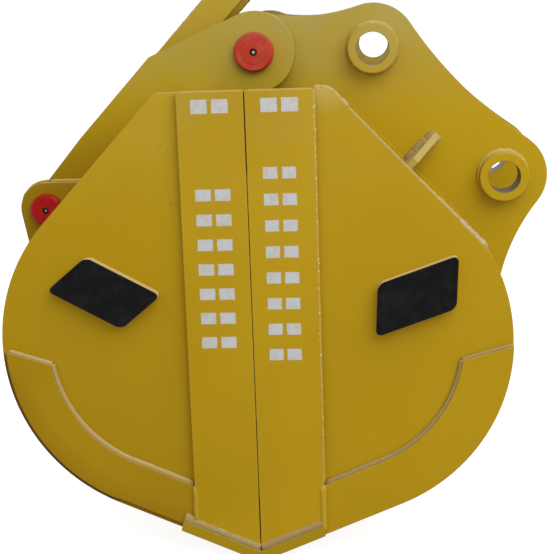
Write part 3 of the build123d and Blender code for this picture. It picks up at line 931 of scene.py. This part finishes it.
def fitting_finishes() -> Paints:
    """Return the finishes of the pin caps, pins, bushes and nipples."""
    return finished(
        RedPaint("red_hinge_cap", PINS.hinge, ring_r=0.030, well_r=0.009, base=(0.425, 0.028, 0.010),
                 faded=(0.445, 0.056, 0.026), rough=0.46, shine=0.18, ring_share=0.38, dust_share=0.85),
        RedPaint("red_arm_cap", PINS.arm, ring_r=0.025, well_r=0.008, base=(0.335, 0.0050, 0.0035),
                 faded=(0.350, 0.010, 0.006), rough=0.22, shine=0.10, ring_share=0.25),
        BareMetal("pin_steel", base=(0.42, 0.42, 0.41), stain=(0.14, 0.12, 0.09), rough=0.30),
        BareMetal("bush_bronze", base=(0.52, 0.36, 0.16), stain=(0.16, 0.11, 0.06), rough=0.38),
        BareMetal("nipple_zinc", base=(0.30, 0.32, 0.28), stain=(0.02, 0.017, 0.014), rough=0.30,
                  heads=((PINS.hinge, 0.0034), (PINS.arm, 0.0016))))


# Sub-assemblies


@dataclass
class JawShell:
    """One jaw's plates: their paint, the welds along them and the blank badge."""

    jaw: Jaw
    foot_deg: float
    back_inset: float
    lip_low: float
    lip_up: float
    wear_inset: float
    badge_at: Flat
    badge_deg: float
    coats: dict[str, str]
    wear_weld: str
    lip_weld: str
    slant_in: float = 0.0
    badge_len: float = 0.198
    badge_high: float = 0.116
    badge_skew: float = 0.047
    badge_t: float = 0.030
    badge_corner: float = 0.016
    badge_bevel: float = 0.0012
    badge_rim: float = 0.0045
    badge_step: float = 0.0010
    badge_sink: float = 0.0016
    wear_bead: float = 0.0075
    shell_bead: float = 0.0062
    strip_bead: float = 0.0072
    strip_stop: float = 0.006
    top_bead: float = 0.0020
    edge_bead: float = 0.0046
    lip_bead: float = 0.0140
    rim_bead: float = 0.0062
    rim_rise: float = 0.0012
    rim_end: float = 0.030
    rim_runs: tuple[tuple[float, float, float], ...] = (
        (0.022, 0.052, 0.0072), (0.046, 0.292, 0.0030), (0.280, 0.362, 0.0042), (0.340, 0.418, 0.0064))
    foot_bead: float = 0.0085
    foot_run: Flat = (0.408, 0.507)
    ridge_bead: float = 0.0008
    ridge_u: float = 0.0016
    ridge_run: Flat = (-0.180, -0.980)

    @property
    def foot(self) -> Vector:
        """Return where the back plate meets the wrapper."""
        return SHAPE.on_arc(self.foot_deg, SHAPE.wrap_inset)

    @property
    def back_top(self) -> Vector:
        """Return the top of the back plate's face, level with the top bar."""
        way = SHAPE.corner - SHAPE.out * self.back_inset - self.foot
        return self.foot + way * ((-SHAPE.bar_drop - self.foot.y) / way.y)

    def edge(self, along: float) -> Vector:
        """Return a point of the side plates' slanted edge, or at 0 its corner with the top edge."""
        if along == 0.0:
            return SHAPE.corner - Vector((self.slant_in / SHAPE.out.x, 0.0))
        return SHAPE.corner - SHAPE.out * self.slant_in + SHAPE.down * along

    def at(self, point: Vector, y: float) -> Vector:
        """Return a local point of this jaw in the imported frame."""
        return SHAPE.space(self.jaw, point, y)

    def turn(self, first: float, last: float) -> float:
        """Return the turn between two local angles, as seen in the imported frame."""
        return self.jaw.value * math.radians(last - first)

    def line(self, welder: Welder, first: Vector, last: Vector, y: float, radius: float,
             tips: tuple[bool, bool] = (True, True)) -> None:
        """Add a straight run between two local points.

        Args:
            welder: what models it.
            first: its start.
            last: its end.
            y: its place across the width.
            radius: half the bead's thickness.
            tips: whether each end is rounded off.
        """
        welder.straight(self.at(first, y), self.at(last, y), radius, tips)

    def arc(self, welder: Welder, first: float, last: float, inset: float, y: float, radius: float) -> None:
        """Add a run along the jaw's arc.

        Args:
            welder: what models it.
            first: local angle of its start.
            last: local angle of its end.
            inset: how far inside the outline it lies.
            y: its place across the width.
            radius: half the bead's thickness.
        """
        centre = self.at(SHAPE.arc_c, y)
        start = self.at(SHAPE.on_arc(first, inset), y)
        welder.curved(centre, start, self.turn(first, last), radius)

    def bar_run(self, welder: Welder, y: float, radius: float) -> None:
        """Add a run along a plate that stands on the top bar."""
        w = 0.0015 - SHAPE.bar_drop
        first = Vector((SHAPE.bar_start + 0.006, w))
        self.line(welder, first, Vector((self.back_top.x - 0.012, w)), y, radius)

    def finish(self, welder: Welder, name: str, paint: bpy.types.Material, lump: float) -> None:
        """Join a welder's runs into a piece of this jaw."""
        welder.join(f"{self.jaw.label}_{name}", self.jaw.body, paint, lump)

    def weld_wear(self, paint: bpy.types.Material) -> None:
        """Build the welds along the upper edges of the wear plates."""
        welder = Welder()
        inset = SHAPE.wear_w + 0.0025
        radius = self.wear_bead
        first = SHAPE.on_arc(SHAPE.wear_out_deg + 0.2, self.wear_inset + OFF_JOINT)
        step = SHAPE.on_arc(SHAPE.wear_in_deg, inset)
        bend = SHAPE.on_arc(SHAPE.arc_end, inset)
        last = SHAPE.on_bottom(SHAPE.strip_w + 0.003, inset)
        lap = (bend - last).normalized() * 0.004
        for hand in Hand:
            y = hand.value * (SHAPE.side_out + 0.003)
            self.line(welder, first, step, y, 0.9 * radius, (True, False))
            self.arc(welder, SHAPE.wear_in_deg, SHAPE.arc_end, inset, y, radius)
            self.line(welder, bend + lap, last, y, radius, (False, True))
        self.finish(welder, "wear_welds", paint, 0.0016)

    def weld_shell(self, paint: bpy.types.Material) -> None:
        """Build the seams between the side plates and the wrapper and back plate."""
        welder = Welder()
        inset = SHAPE.wrap_inset - OFF_JOINT
        lift = SHAPE.out * OFF_JOINT
        bend = SHAPE.on_arc(SHAPE.arc_end, inset)
        low = SHAPE.on_bottom(self.lip_low + 0.004, inset)
        for hand in Hand:
            y = hand.value * (SHAPE.side_in - OFF_JOINT)
            self.arc(welder, self.foot_deg, SHAPE.arc_end, inset, y, self.shell_bead)
            self.line(welder, bend, low, y, self.shell_bead, (False, True))
            self.line(welder, self.back_top + lift, self.foot + lift, y, self.shell_bead, (True, False))
        self.finish(welder, "shell_welds", paint, 0.0024)

    def weld_lip(self, paint: bpy.types.Material) -> None:
        """Build the flat weld on top of the cutting lip, over the ends of strip and wear plate."""
        welder = Welder()
        rise = SHAPE.lip_t + 0.0060
        first = SHAPE.on_bottom(0.003, rise)
        last = SHAPE.on_bottom(self.lip_up - 0.002, rise)
        for hand in Hand:
            y = hand.value * (SHAPE.strip_out - 0.0105)
            self.line(welder, first, last, y, self.lip_bead, (False, False))
        self.finish(welder, "lip_welds", paint, 0.0026)

    def weld_strips(self, paint: bpy.types.Material) -> None:
        """Build the welds on top of the strips and, between lip and wear seam, over their edges."""
        welder = Welder()
        u = SHAPE.strip_w - OFF_JOINT
        for hand in Hand:
            y = hand.value * SHAPE.side_out
            self.line(welder, Vector((0.004, 0.0)), Vector((u - 0.003, 0.0)), y, self.top_bead)
        self.finish(welder, "strip_top_welds", paint, 0.0008)
        wear_top = SHAPE.on_bottom(u, SHAPE.wear_w + 0.004)
        lip_top = SHAPE.on_bottom(u, SHAPE.lip_t + self.strip_stop)
        for hand in Hand:
            y = hand.value * (SHAPE.strip_out - 0.0050)
            self.line(welder, wear_top, lip_top, y, self.strip_bead)
        self.finish(welder, "strip_welds", paint, 0.0036)

    def ridge_seam(self, paint: bpy.types.Material) -> None:
        """Build up the paint along the strips' seam edges, which narrows the gap half way down."""
        welder = Welder()
        first, last = (Vector((self.ridge_u, w)) for w in self.ridge_run)
        for hand in Hand:
            y = hand.value * (SHAPE.strip_out - self.ridge_bead)
            self.line(welder, first, last, y, self.ridge_bead)
        self.finish(welder, "seam_ridges", paint, 0.0004)

    def weld_strip_edge(self, paint: bpy.types.Material) -> None:
        """Build the slim spattered welds beside the strips, from the top down to the wear seam."""
        welder = Welder()
        u = SHAPE.strip_w + 0.0012
        wear_top = SHAPE.on_bottom(u, SHAPE.wear_w)
        for hand in Hand:
            y = hand.value * (SHAPE.side_out + 0.012)
            self.line(welder, Vector((u, -0.002)), wear_top, y, self.edge_bead)
        self.finish(welder, "strip_edge_welds", paint, 0.0030)

    def weld_rim(self, paint: bpy.types.Material) -> None:
        """Build up the worn rim of the side plates: over the top corner and down the slanted edge."""
        welder = Welder()
        radius = self.rim_bead
        rise = SHAPE.out * self.rim_rise
        reach = SHAPE.corner_r * math.tan(math.radians(90.0 - SHAPE.slant_deg) / 2.0)
        bend = self.edge(0.0) - Vector((reach, SHAPE.corner_r))
        arm = SHAPE.corner_r + rise.length
        over, under = bend + unit(90.0) * arm, bend + SHAPE.out * arm
        first = Vector((SHAPE.strip_w + 0.002, rise.length))
        for hand in Hand:
            y = hand.value * (SHAPE.side_out - radius)
            self.line(welder, first, over, y, radius, (True, False))
            welder.curved(self.at(bend, y), self.at(over, y), self.turn(90.0, SHAPE.slant_deg), radius)
            self.line(welder, under, self.edge(self.rim_end) + rise, y, radius, (False, True))
            for begin, stop, thick in self.rim_runs:
                self.line(welder, self.edge(begin) + rise, self.edge(stop) + rise, y, thick)
        self.finish(welder, "rim_welds", paint, 0.0022)

    def weld_foot(self, paint: bpy.types.Material) -> None:
        """Build the rough welds over the lower end of the side plates' slanted edge."""
        welder = Welder()
        first, last = (self.edge(along) for along in self.foot_run)
        for hand in Hand:
            self.line(welder, first, last, hand.value * (SHAPE.side_in + 0.006), self.foot_bead)
        self.finish(welder, "foot_welds", paint, 0.0060)

    def build_badge(self, paint: bpy.types.Material) -> None:
        """Build the blank badge: a skewed plate with round corners and a raised rim."""
        node = f"{self.jaw.label}_badge_plate"
        along = unit(self.badge_deg)
        rise = unit(self.badge_deg + 90.0)
        base = Vector((-SHAPE.hinge_to_stick + self.jaw.value * self.badge_at[0], -self.badge_at[1]))
        middle = base + along * (self.badge_len / 2) + rise * (self.badge_high / 2)
        y = -SHAPE.side_out - self.badge_t / 2
        bpy.ops.object.select_all(action="DESELECT")
        bpy.ops.mesh.primitive_cube_add(size=1.0, location=(middle.x, y, middle.y),
                                        rotation=(0.0, -math.radians(self.badge_deg), 0.0),
                                        scale=(self.badge_len, self.badge_t, self.badge_high))
        plate = edit_new()
        self._pick(plate, "VERT", lambda v: Vector((v.co.x, v.co.z)).dot(rise) > middle.dot(rise))
        lean = along * self.badge_skew
        bpy.ops.transform.translate(value=(lean.x, 0.0, lean.y))
        self._pick(plate, "EDGE", lambda e: abs(e.verts[0].co.y - e.verts[1].co.y) > 0.5 * self.badge_t)
        bpy.ops.mesh.bevel(offset=self.badge_corner, segments=6, affect="EDGES")
        self._pick(plate, "FACE", lambda f: f.normal.y < -0.9)
        bpy.ops.mesh.bevel(offset=self.badge_bevel, segments=2, affect="EDGES")
        self._pick(plate, "FACE", lambda f: f.normal.y < -0.99)
        bpy.ops.mesh.inset(thickness=self.badge_rim)
        bpy.ops.mesh.inset(thickness=self.badge_step, depth=-self.badge_sink)
        bpy.ops.mesh.poke()
        bpy.ops.mesh.select_all(action="SELECT")
        bpy.ops.mesh.normals_make_consistent(inside=False)
        bpy.ops.object.mode_set(mode="OBJECT")
        bpy.ops.object.shade_smooth_by_angle(angle=math.radians(35.0))
        plate.name = f"{node}_blank"
        plate.data.name = plate.name
        plate.data.materials.append(paint)
        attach(plate, self.jaw.body)
        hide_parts(node)
        LOG.info("piece %s on %s: %d faces", plate.name, self.jaw.body, len(plate.data.polygons))

    @staticmethod
    def _pick(made: bpy.types.Object, kind: str, wanted: Callable[..., bool]) -> None:
        """Select the vertices, edges or faces that a test picks, in edit mode."""
        bpy.ops.mesh.select_mode(type=kind)
        bpy.ops.mesh.select_all(action="DESELECT")
        mesh = bmesh.from_edit_mesh(made.data)
        group = {"VERT": mesh.verts, "EDGE": mesh.edges, "FACE": mesh.faces}[kind]
        for part in group:
            part.select_set(bool(wanted(part)))
        bmesh.update_edit_mesh(made.data)

    def build(self, paints: Paints) -> None:
        """Build the pieces that both jaws have."""
        self.weld_wear(paints[self.wear_weld])
        self.weld_shell(paints["yellow_weld"])
        self.weld_lip(paints[self.lip_weld])
        self.weld_strips(paints["yellow_weld"])
        self.ridge_seam(paints[self.coats["edge_strips"]])
        self.build_badge(paints["black_badge"])

    def build_worn_edges(self, paints: Paints) -> None:
        """Build the welds that only the rear jaw shows, beside its strip and on its slanted edge."""
        self.weld_strip_edge(paints["spattered_weld"])
        self.weld_rim(paints["pale_rim"])
        self.weld_foot(paints["rough_foot_weld"])

    def dress(self, paints: Paints) -> None:
        """Paint the jaw's CAD plates."""
        for plate, coat in self.coats.items():
            dress(paints[coat], f"{self.jaw.label}_{plate}")


def rear_shell() -> JawShell:
    """Return the rear jaw's plates, with the slanted edge cut further in."""
    coats = {"side_plates": "yellow_rear_side", "wear_plates": "yellow_plate", "wrapper": "yellow_back",
             "back_plate": "yellow_back", "top_bar": "yellow_plate", "cutting_lip": "yellow_lip",
             "edge_strips": "yellow_rear_strip"}
    return JawShell(Jaw.REAR, SHAPE.slant_deg, back_inset=0.026, lip_low=0.158, lip_up=0.1565,
                    wear_inset=0.0, badge_at=(0.289, 0.654), badge_deg=19.3, coats=coats,
                    wear_weld="brown_weld", lip_weld="rear_lip_weld", slant_in=0.013,
                    wear_bead=0.0062, strip_bead=0.0088, strip_stop=-0.016)


def front_shell() -> JawShell:
    """Return the front jaw's plates, with the back plate turned in from the slanted edge."""
    back_inset = 0.040
    tilt = math.degrees(math.acos((SHAPE.arc_r - back_inset) / (SHAPE.arc_r - SHAPE.wrap_inset)))
    coats = {"side_plates": "yellow_front_side_shaded", "wear_plates": "yellow_front_wear_shaded",
             "wrapper": "yellow_plate", "back_plate": "yellow_plate", "top_bar": "yellow_plate",
             "cutting_lip": "yellow_lip", "edge_strips": "yellow_front_strip"}
    return JawShell(Jaw.FRONT, SHAPE.slant_deg - tilt, back_inset=back_inset, lip_low=0.193, lip_up=0.1865,
                    wear_inset=0.012, badge_at=(0.484, 0.531), badge_deg=-28.7, coats=coats,
                    wear_weld="tan_weld", lip_weld="front_lip_weld")


@dataclass
class RearEars:
    """The rear jaw's ears: bosses, gussets, hinge tube and the welds that hold them."""

    shell: JawShell
    ear_in: float = 0.165
    ear_out: float = 0.205
    boss_r: float = 0.060
    tube_r: float = 0.072
    ear_end_deg: float = 4.7
    gusset_along: float = 0.268
    gusset_t: float = 0.017
    gusset_rise: float = 0.079
    gusset_foot: float = 0.092
    boss_bead: float = 0.0080
    tube_bead: float = 0.0060
    upper_bead: float = 0.0095
    lower_bead: float = 0.0050
    foot_bead: float = 0.0036
    inner_bead: float = 0.0056
    outer_bead: float = 0.0030

    def build(self, paints: Paints) -> None:
        """Build the welds of the bosses, the tube, the gussets and the ears."""
        welder = Welder()
        body = Jaw.REAR.body
        for hand in Hand:
            for x, z in (PINS.stick, PINS.link):
                spot = Vector((x, hand.value * self.ear_out, z))
                welder.ring(spot, self.boss_r - OFF_JOINT, self.boss_bead)
        welder.join("boss_welds", body, paints["boss_weld"], 0.0040)
        x, z = PINS.hinge
        for hand in Hand:
            spot = Vector((x, hand.value * (self.ear_in - OFF_JOINT), z))
            welder.ring(spot, self.tube_r + OFF_JOINT, self.tube_bead)
        welder.join("hinge_tube_welds", body, paints["yellow_weld"], 0.0016)
        for side, paint in ((Flank.UPPER, "scorched_weld"), (Flank.LOWER, "pale_weld")):
            for hand in Hand:
                self._gusset(welder, hand, side)
            welder.join(f"gusset_{side.value}_welds", body, paints[paint], 0.0036)
        for hand in Hand:
            self._ear(welder, hand.value * (self.ear_in - 0.002), self.inner_bead)
        welder.join("ear_inner_welds", body, paints["yellow_weld"], 0.0024)
        for hand in Hand:
            self._ear(welder, hand.value * (self.ear_out + OFF_JOINT), self.outer_bead)
        welder.join("ear_outer_welds", body, paints["yellow_back"], 0.0012)

    def _gusset(self, welder: Welder, hand: Hand, side: Flank) -> None:
        """Add the runs along one flank of one gusset and at its foot."""
        shell = self.shell
        share = self.gusset_along / SHAPE.slant_len
        slope = shell.back_inset + (SHAPE.wrap_inset - shell.back_inset) * share
        y = hand.value * (self.ear_out + 0.0025)
        face = self.gusset_along - self.gusset_t / 2
        upper = side is Flank.UPPER
        along = face - OFF_JOINT if upper else face + self.gusset_t + OFF_JOINT
        root = SHAPE.corner + SHAPE.down * along
        low, high = root - SHAPE.out * slope, root + SHAPE.out * self.gusset_rise
        shell.line(welder, low, high, y, self.upper_bead if upper else self.lower_bead)
        foot = shell.at(low, hand.value * (self.ear_out + self.gusset_foot))
        welder.straight(shell.at(low, y), foot, self.foot_bead)

    def _ear(self, welder: Welder, y: float, radius: float) -> None:
        """Add the run along one face of one ear, over the top bar, back plate and wrapper."""
        shell = self.shell
        lift = SHAPE.out * OFF_JOINT
        shell.bar_run(welder, y, radius)
        shell.line(welder, shell.back_top + lift, shell.foot + lift, y, radius, (True, False))
        shell.arc(welder, shell.foot_deg, self.ear_end_deg, SHAPE.wrap_inset - 0.002, y, radius)

    @staticmethod
    def dress(paints: Paints) -> None:
        """Paint the ears' CAD nodes."""
        dress(paints["yellow_bored"], "rear_ears", "stick_pin_bosses", "link_pin_bosses")
        dress(paints["yellow_plate"], "hinge_tube")
        dress(paints["yellow_gusset"], "rear_gussets")
        dress(paints["bush_bronze"], "hinge_bush")


@dataclass
class FrontHinge:
    """The front jaw's hinge plates, doublers, pins, caps and nipples."""

    shell: JawShell
    plate_in: float = 0.208
    plate_out: float = 0.246
    arm_pin_along: float = 0.446
    arm_pin_out: float = 0.035
    doubler_r: float = 0.068
    doubler_back: float = 0.130
    doubler_end_deg: float = -8.0
    off_plate: float = 0.002
    off_doubler: float = 0.0015
    plate_bead: float = 0.0066
    bar_bead: float = 0.0058
    doubler_bead: float = 0.0050

    @property
    def arm_pin(self) -> Vector:
        """Return the arm pin's local point."""
        return SHAPE.corner + SHAPE.down * self.arm_pin_along + SHAPE.out * self.arm_pin_out

    def build(self, paints: Paints) -> None:
        """Build the welds of the hinge plates and the doublers."""
        welder = Welder()
        shell = self.shell
        lift = SHAPE.out * self.off_plate
        rim = self.doubler_r + self.off_doubler
        over, lap, back = (self.arm_pin + Vector((u, rim)) for u in (0.0, -0.004, -self.doubler_back))
        turn = shell.turn(90.0, self.doubler_end_deg)
        for hand in Hand:
            for face in (self.plate_in - self.off_plate, self.plate_out + self.off_plate):
                y = hand.value * face
                shell.line(welder, shell.back_top + lift, shell.foot + lift, y, self.plate_bead)
                shell.bar_run(welder, y, self.bar_bead)
            y = hand.value * (self.plate_out + self.off_plate)
            shell.line(welder, lap, back, y, self.doubler_bead)
            welder.curved(shell.at(self.arm_pin, y), shell.at(over, y), turn, self.doubler_bead)
        welder.join("hinge_plate_welds", Jaw.FRONT.body, paints["yellow_weld"], 0.0022)

    @staticmethod
    def dress(paints: Paints) -> None:
        """Paint the hinge's CAD nodes."""
        dress(paints["yellow_hinge_plate"], "front_hinge_plates", "arm_ear_doublers", "arm_rest_block")
        dress(paints["red_hinge_cap"], "hinge_pin_caps")
        dress(paints["red_arm_cap"], "arm_pin_caps")
        dress(paints["pin_steel"], "hinge_pin", "arm_pin")
        dress(paints["nipple_zinc"], "grease_nipples")


@dataclass
class StiffArm:
    """The box arm from the front jaw up to the machine."""

    hinge: FrontHinge
    length: float = 1.000
    half_w: float = 0.110
    cheek_t: float = 0.018
    tube_r: float = 0.053
    head_r: float = 0.052
    under: float = 0.016
    top: float = 0.059
    top_start: float = 0.070
    taper: float = 0.190
    plate_bead: float = 0.0040
    tube_bead: float = 0.0050
    head_deg: float = 80.0
    body: str = "stiff_arm"

    def at(self, along: float, out: float, y: float) -> Vector:
        """Return a point of the arm, measured up it and outward from its pin."""
        return SHAPE.space(Jaw.FRONT, self.hinge.arm_pin - SHAPE.down * along + SHAPE.out * out, y)

    def build(self, paints: Paints) -> None:
        """Build the welds along the arm's plates and round its tubes."""
        welder = Welder()
        end = self.length - self.head_r
        head = (self.top - self.under) / 2
        for hand in Hand:
            y = hand.value * (self.half_w - self.cheek_t)
            above, below = self.top - OFF_JOINT, OFF_JOINT - self.under
            for first, out in ((self.top_start, above), (self.taper, below)):
                welder.straight(self.at(first, out, y), self.at(end, out, y), self.plate_bead)
            y = hand.value * (self.half_w + OFF_JOINT)
            welder.ring(self.at(0.0, 0.0, y), self.tube_r + OFF_JOINT, self.tube_bead)
            centre, start = self.at(self.length, head, y), self.at(end - OFF_JOINT, head, y)
            for turn in (self.head_deg, -self.head_deg):
                welder.curved(centre, start, math.radians(turn), self.tube_bead)
        welder.join("arm_welds", self.body, paints["yellow_weld"], 0.0018)

    @staticmethod
    def dress(paints: Paints) -> None:
        """Paint the arm's CAD nodes."""
        dress(paints["yellow_arm"], "arm_cheeks", "arm_top_plate", "arm_pivot_tube")
        # the bottom plate wears the lighter paint that stands in for bounce light
        dress(paints["yellow_arm_under_painted_bounce"], "arm_bottom_plate")
        dress(paints["yellow_bored"], "arm_head_tube")
        dress(paints["bush_bronze"], "arm_pivot_bush")


# Stage


@dataclass(frozen=True)
class Lamp:
    """One soft white lamp."""

    name: str
    at: Spot
    aim: Spot
    size: float
    watts: float

    def build(self) -> None:
        """Hang the lamp."""
        data = bpy.data.lights.new(self.name, "AREA")
        data.shape = "DISK"
        data.size = self.size
        data.energy = self.watts
        lamp = bpy.data.objects.new(self.name, data)
        lamp.location = self.at
        lamp.rotation_euler = (Vector(self.at) - Vector(self.aim)).to_track_quat("Z", "Y").to_euler()
        bpy.context.scene.collection.objects.link(lamp)


@dataclass
class Stage:
    """Floor, white surroundings, lamps and the camera."""

    lamps: tuple[Lamp, ...] = (
        Lamp("key", (2.0, -2.9, 3.0), (-0.2, 0.0, -0.4), 5.0, 200.0),
        Lamp("front_fill", (0.4, -4.5, 0.6), (-0.2, 0.0, -0.6), 3.0, 24.0),
        Lamp("left_fill", (-2.2, -3.0, 2.2), (-0.6, 0.0, -0.1), 3.0, 12.0))
    floor_z: float = -1.2190
    floor_half: float = 60.0
    floor_glow: float = 0.86
    ambient: float = 0.62
    camera_at: Spot = (0.015, -3.431, 0.098)
    camera_yaw: float = 4.86
    camera_pitch: float = -11.78
    camera_roll: float = 1.99
    sensor_mm: float = 36.0
    focal_px: float = 1276.0
    long_side_px: float = 554.0
    white: Colour = (1.0, 1.0, 1.0)
    grey: Colour = (0.45, 0.45, 0.45)

    @staticmethod
    def _seen(graph: Graph) -> Num:
        """Return 1 for rays from the camera, a mirror or glass."""
        path = graph.node("ShaderNodeLightPath").outputs
        eye = Num(graph, path["Is Camera Ray"])
        return eye.most(Num(graph, path["Is Glossy Ray"])).most(Num(graph, path["Is Transmission Ray"]))

    def build_floor(self) -> None:
        """Lay a plain pale floor that shows white and keeps the shadow."""
        bpy.ops.object.select_all(action="DESELECT")
        bpy.ops.mesh.primitive_plane_add(size=2 * self.floor_half, location=(0.0, 0.0, self.floor_z))
        floor = bpy.context.object
        floor.name = "floor"
        bpy.ops.object.transform_apply(location=True, rotation=True, scale=True)
        g = Graph.paint("pale_floor")
        matt = g.node("ShaderNodeBsdfDiffuse", links={"Color": self.grey})
        level = self._seen(g) * self.floor_glow
        glow = g.node("ShaderNodeEmission", links={"Color": self.white, "Strength": level})
        both = g.node("ShaderNodeAddShader", links={0: matt.outputs[0], 1: glow.outputs[0]})
        g.node("ShaderNodeOutputMaterial", links={0: both.outputs[0]})
        floor.data.materials.append(g.owner)

    def build_surroundings(self) -> None:
        """Make the world white to the eye and plain in its light."""
        g = Graph(bpy.data.worlds.new("surroundings"))
        bpy.context.scene.world = g.owner
        seen = self._seen(g)
        level = seen + (1.0 - seen) * self.ambient
        sky = g.node("ShaderNodeBackground", links={"Color": self.white, "Strength": level})
        g.node("ShaderNodeOutputWorld", links={0: sky.outputs[0]})

    def build_camera(self) -> None:
        """Place the camera where the photograph was taken."""
        turn = Matrix.Rotation(math.radians(self.camera_yaw), 3, "Z")
        turn = turn @ Matrix.Rotation(math.radians(self.camera_pitch), 3, "X")
        turn = turn @ Matrix.Rotation(math.radians(self.camera_roll), 3, "Y")
        right, ahead, up = (turn.col[i] for i in range(3))
        pose = Matrix((right, up, -ahead)).transposed().to_4x4()
        pose.translation = self.camera_at
        data = bpy.data.cameras.new("camera")
        data.sensor_width = self.sensor_mm
        data.lens = self.sensor_mm * self.focal_px / self.long_side_px
        camera = bpy.data.objects.new("camera", data)
        camera.matrix_world = pose
        bpy.context.scene.collection.objects.link(camera)
        bpy.context.scene.camera = camera

    def build(self) -> None:
        """Build the whole stage."""
        self.build_floor()
        self.build_surroundings()
        for lamp in self.lamps:
            lamp.build()
        self.build_camera()
        bpy.context.scene.view_settings.view_transform = "Standard"


# The object


def main() -> None:
    """Build the finishes, the sub-assemblies and the stage in order."""
    logging.basicConfig(level=logging.INFO, format="%(message)s")
    paints = {**jaw_paints(), **upper_paints(), **weld_paints(), **fitting_finishes()}
    rear, front = rear_shell(), front_shell()
    for shell in (rear, front):
        shell.dress(paints)
        shell.build(paints)
    rear.build_worn_edges(paints)
    hinge = FrontHinge(front)
    for assembly in (RearEars(rear), hinge, StiffArm(hinge)):
        assembly.dress(paints)
        assembly.build(paints)
    Stage().build()


if __name__ == "__main__":
    main()
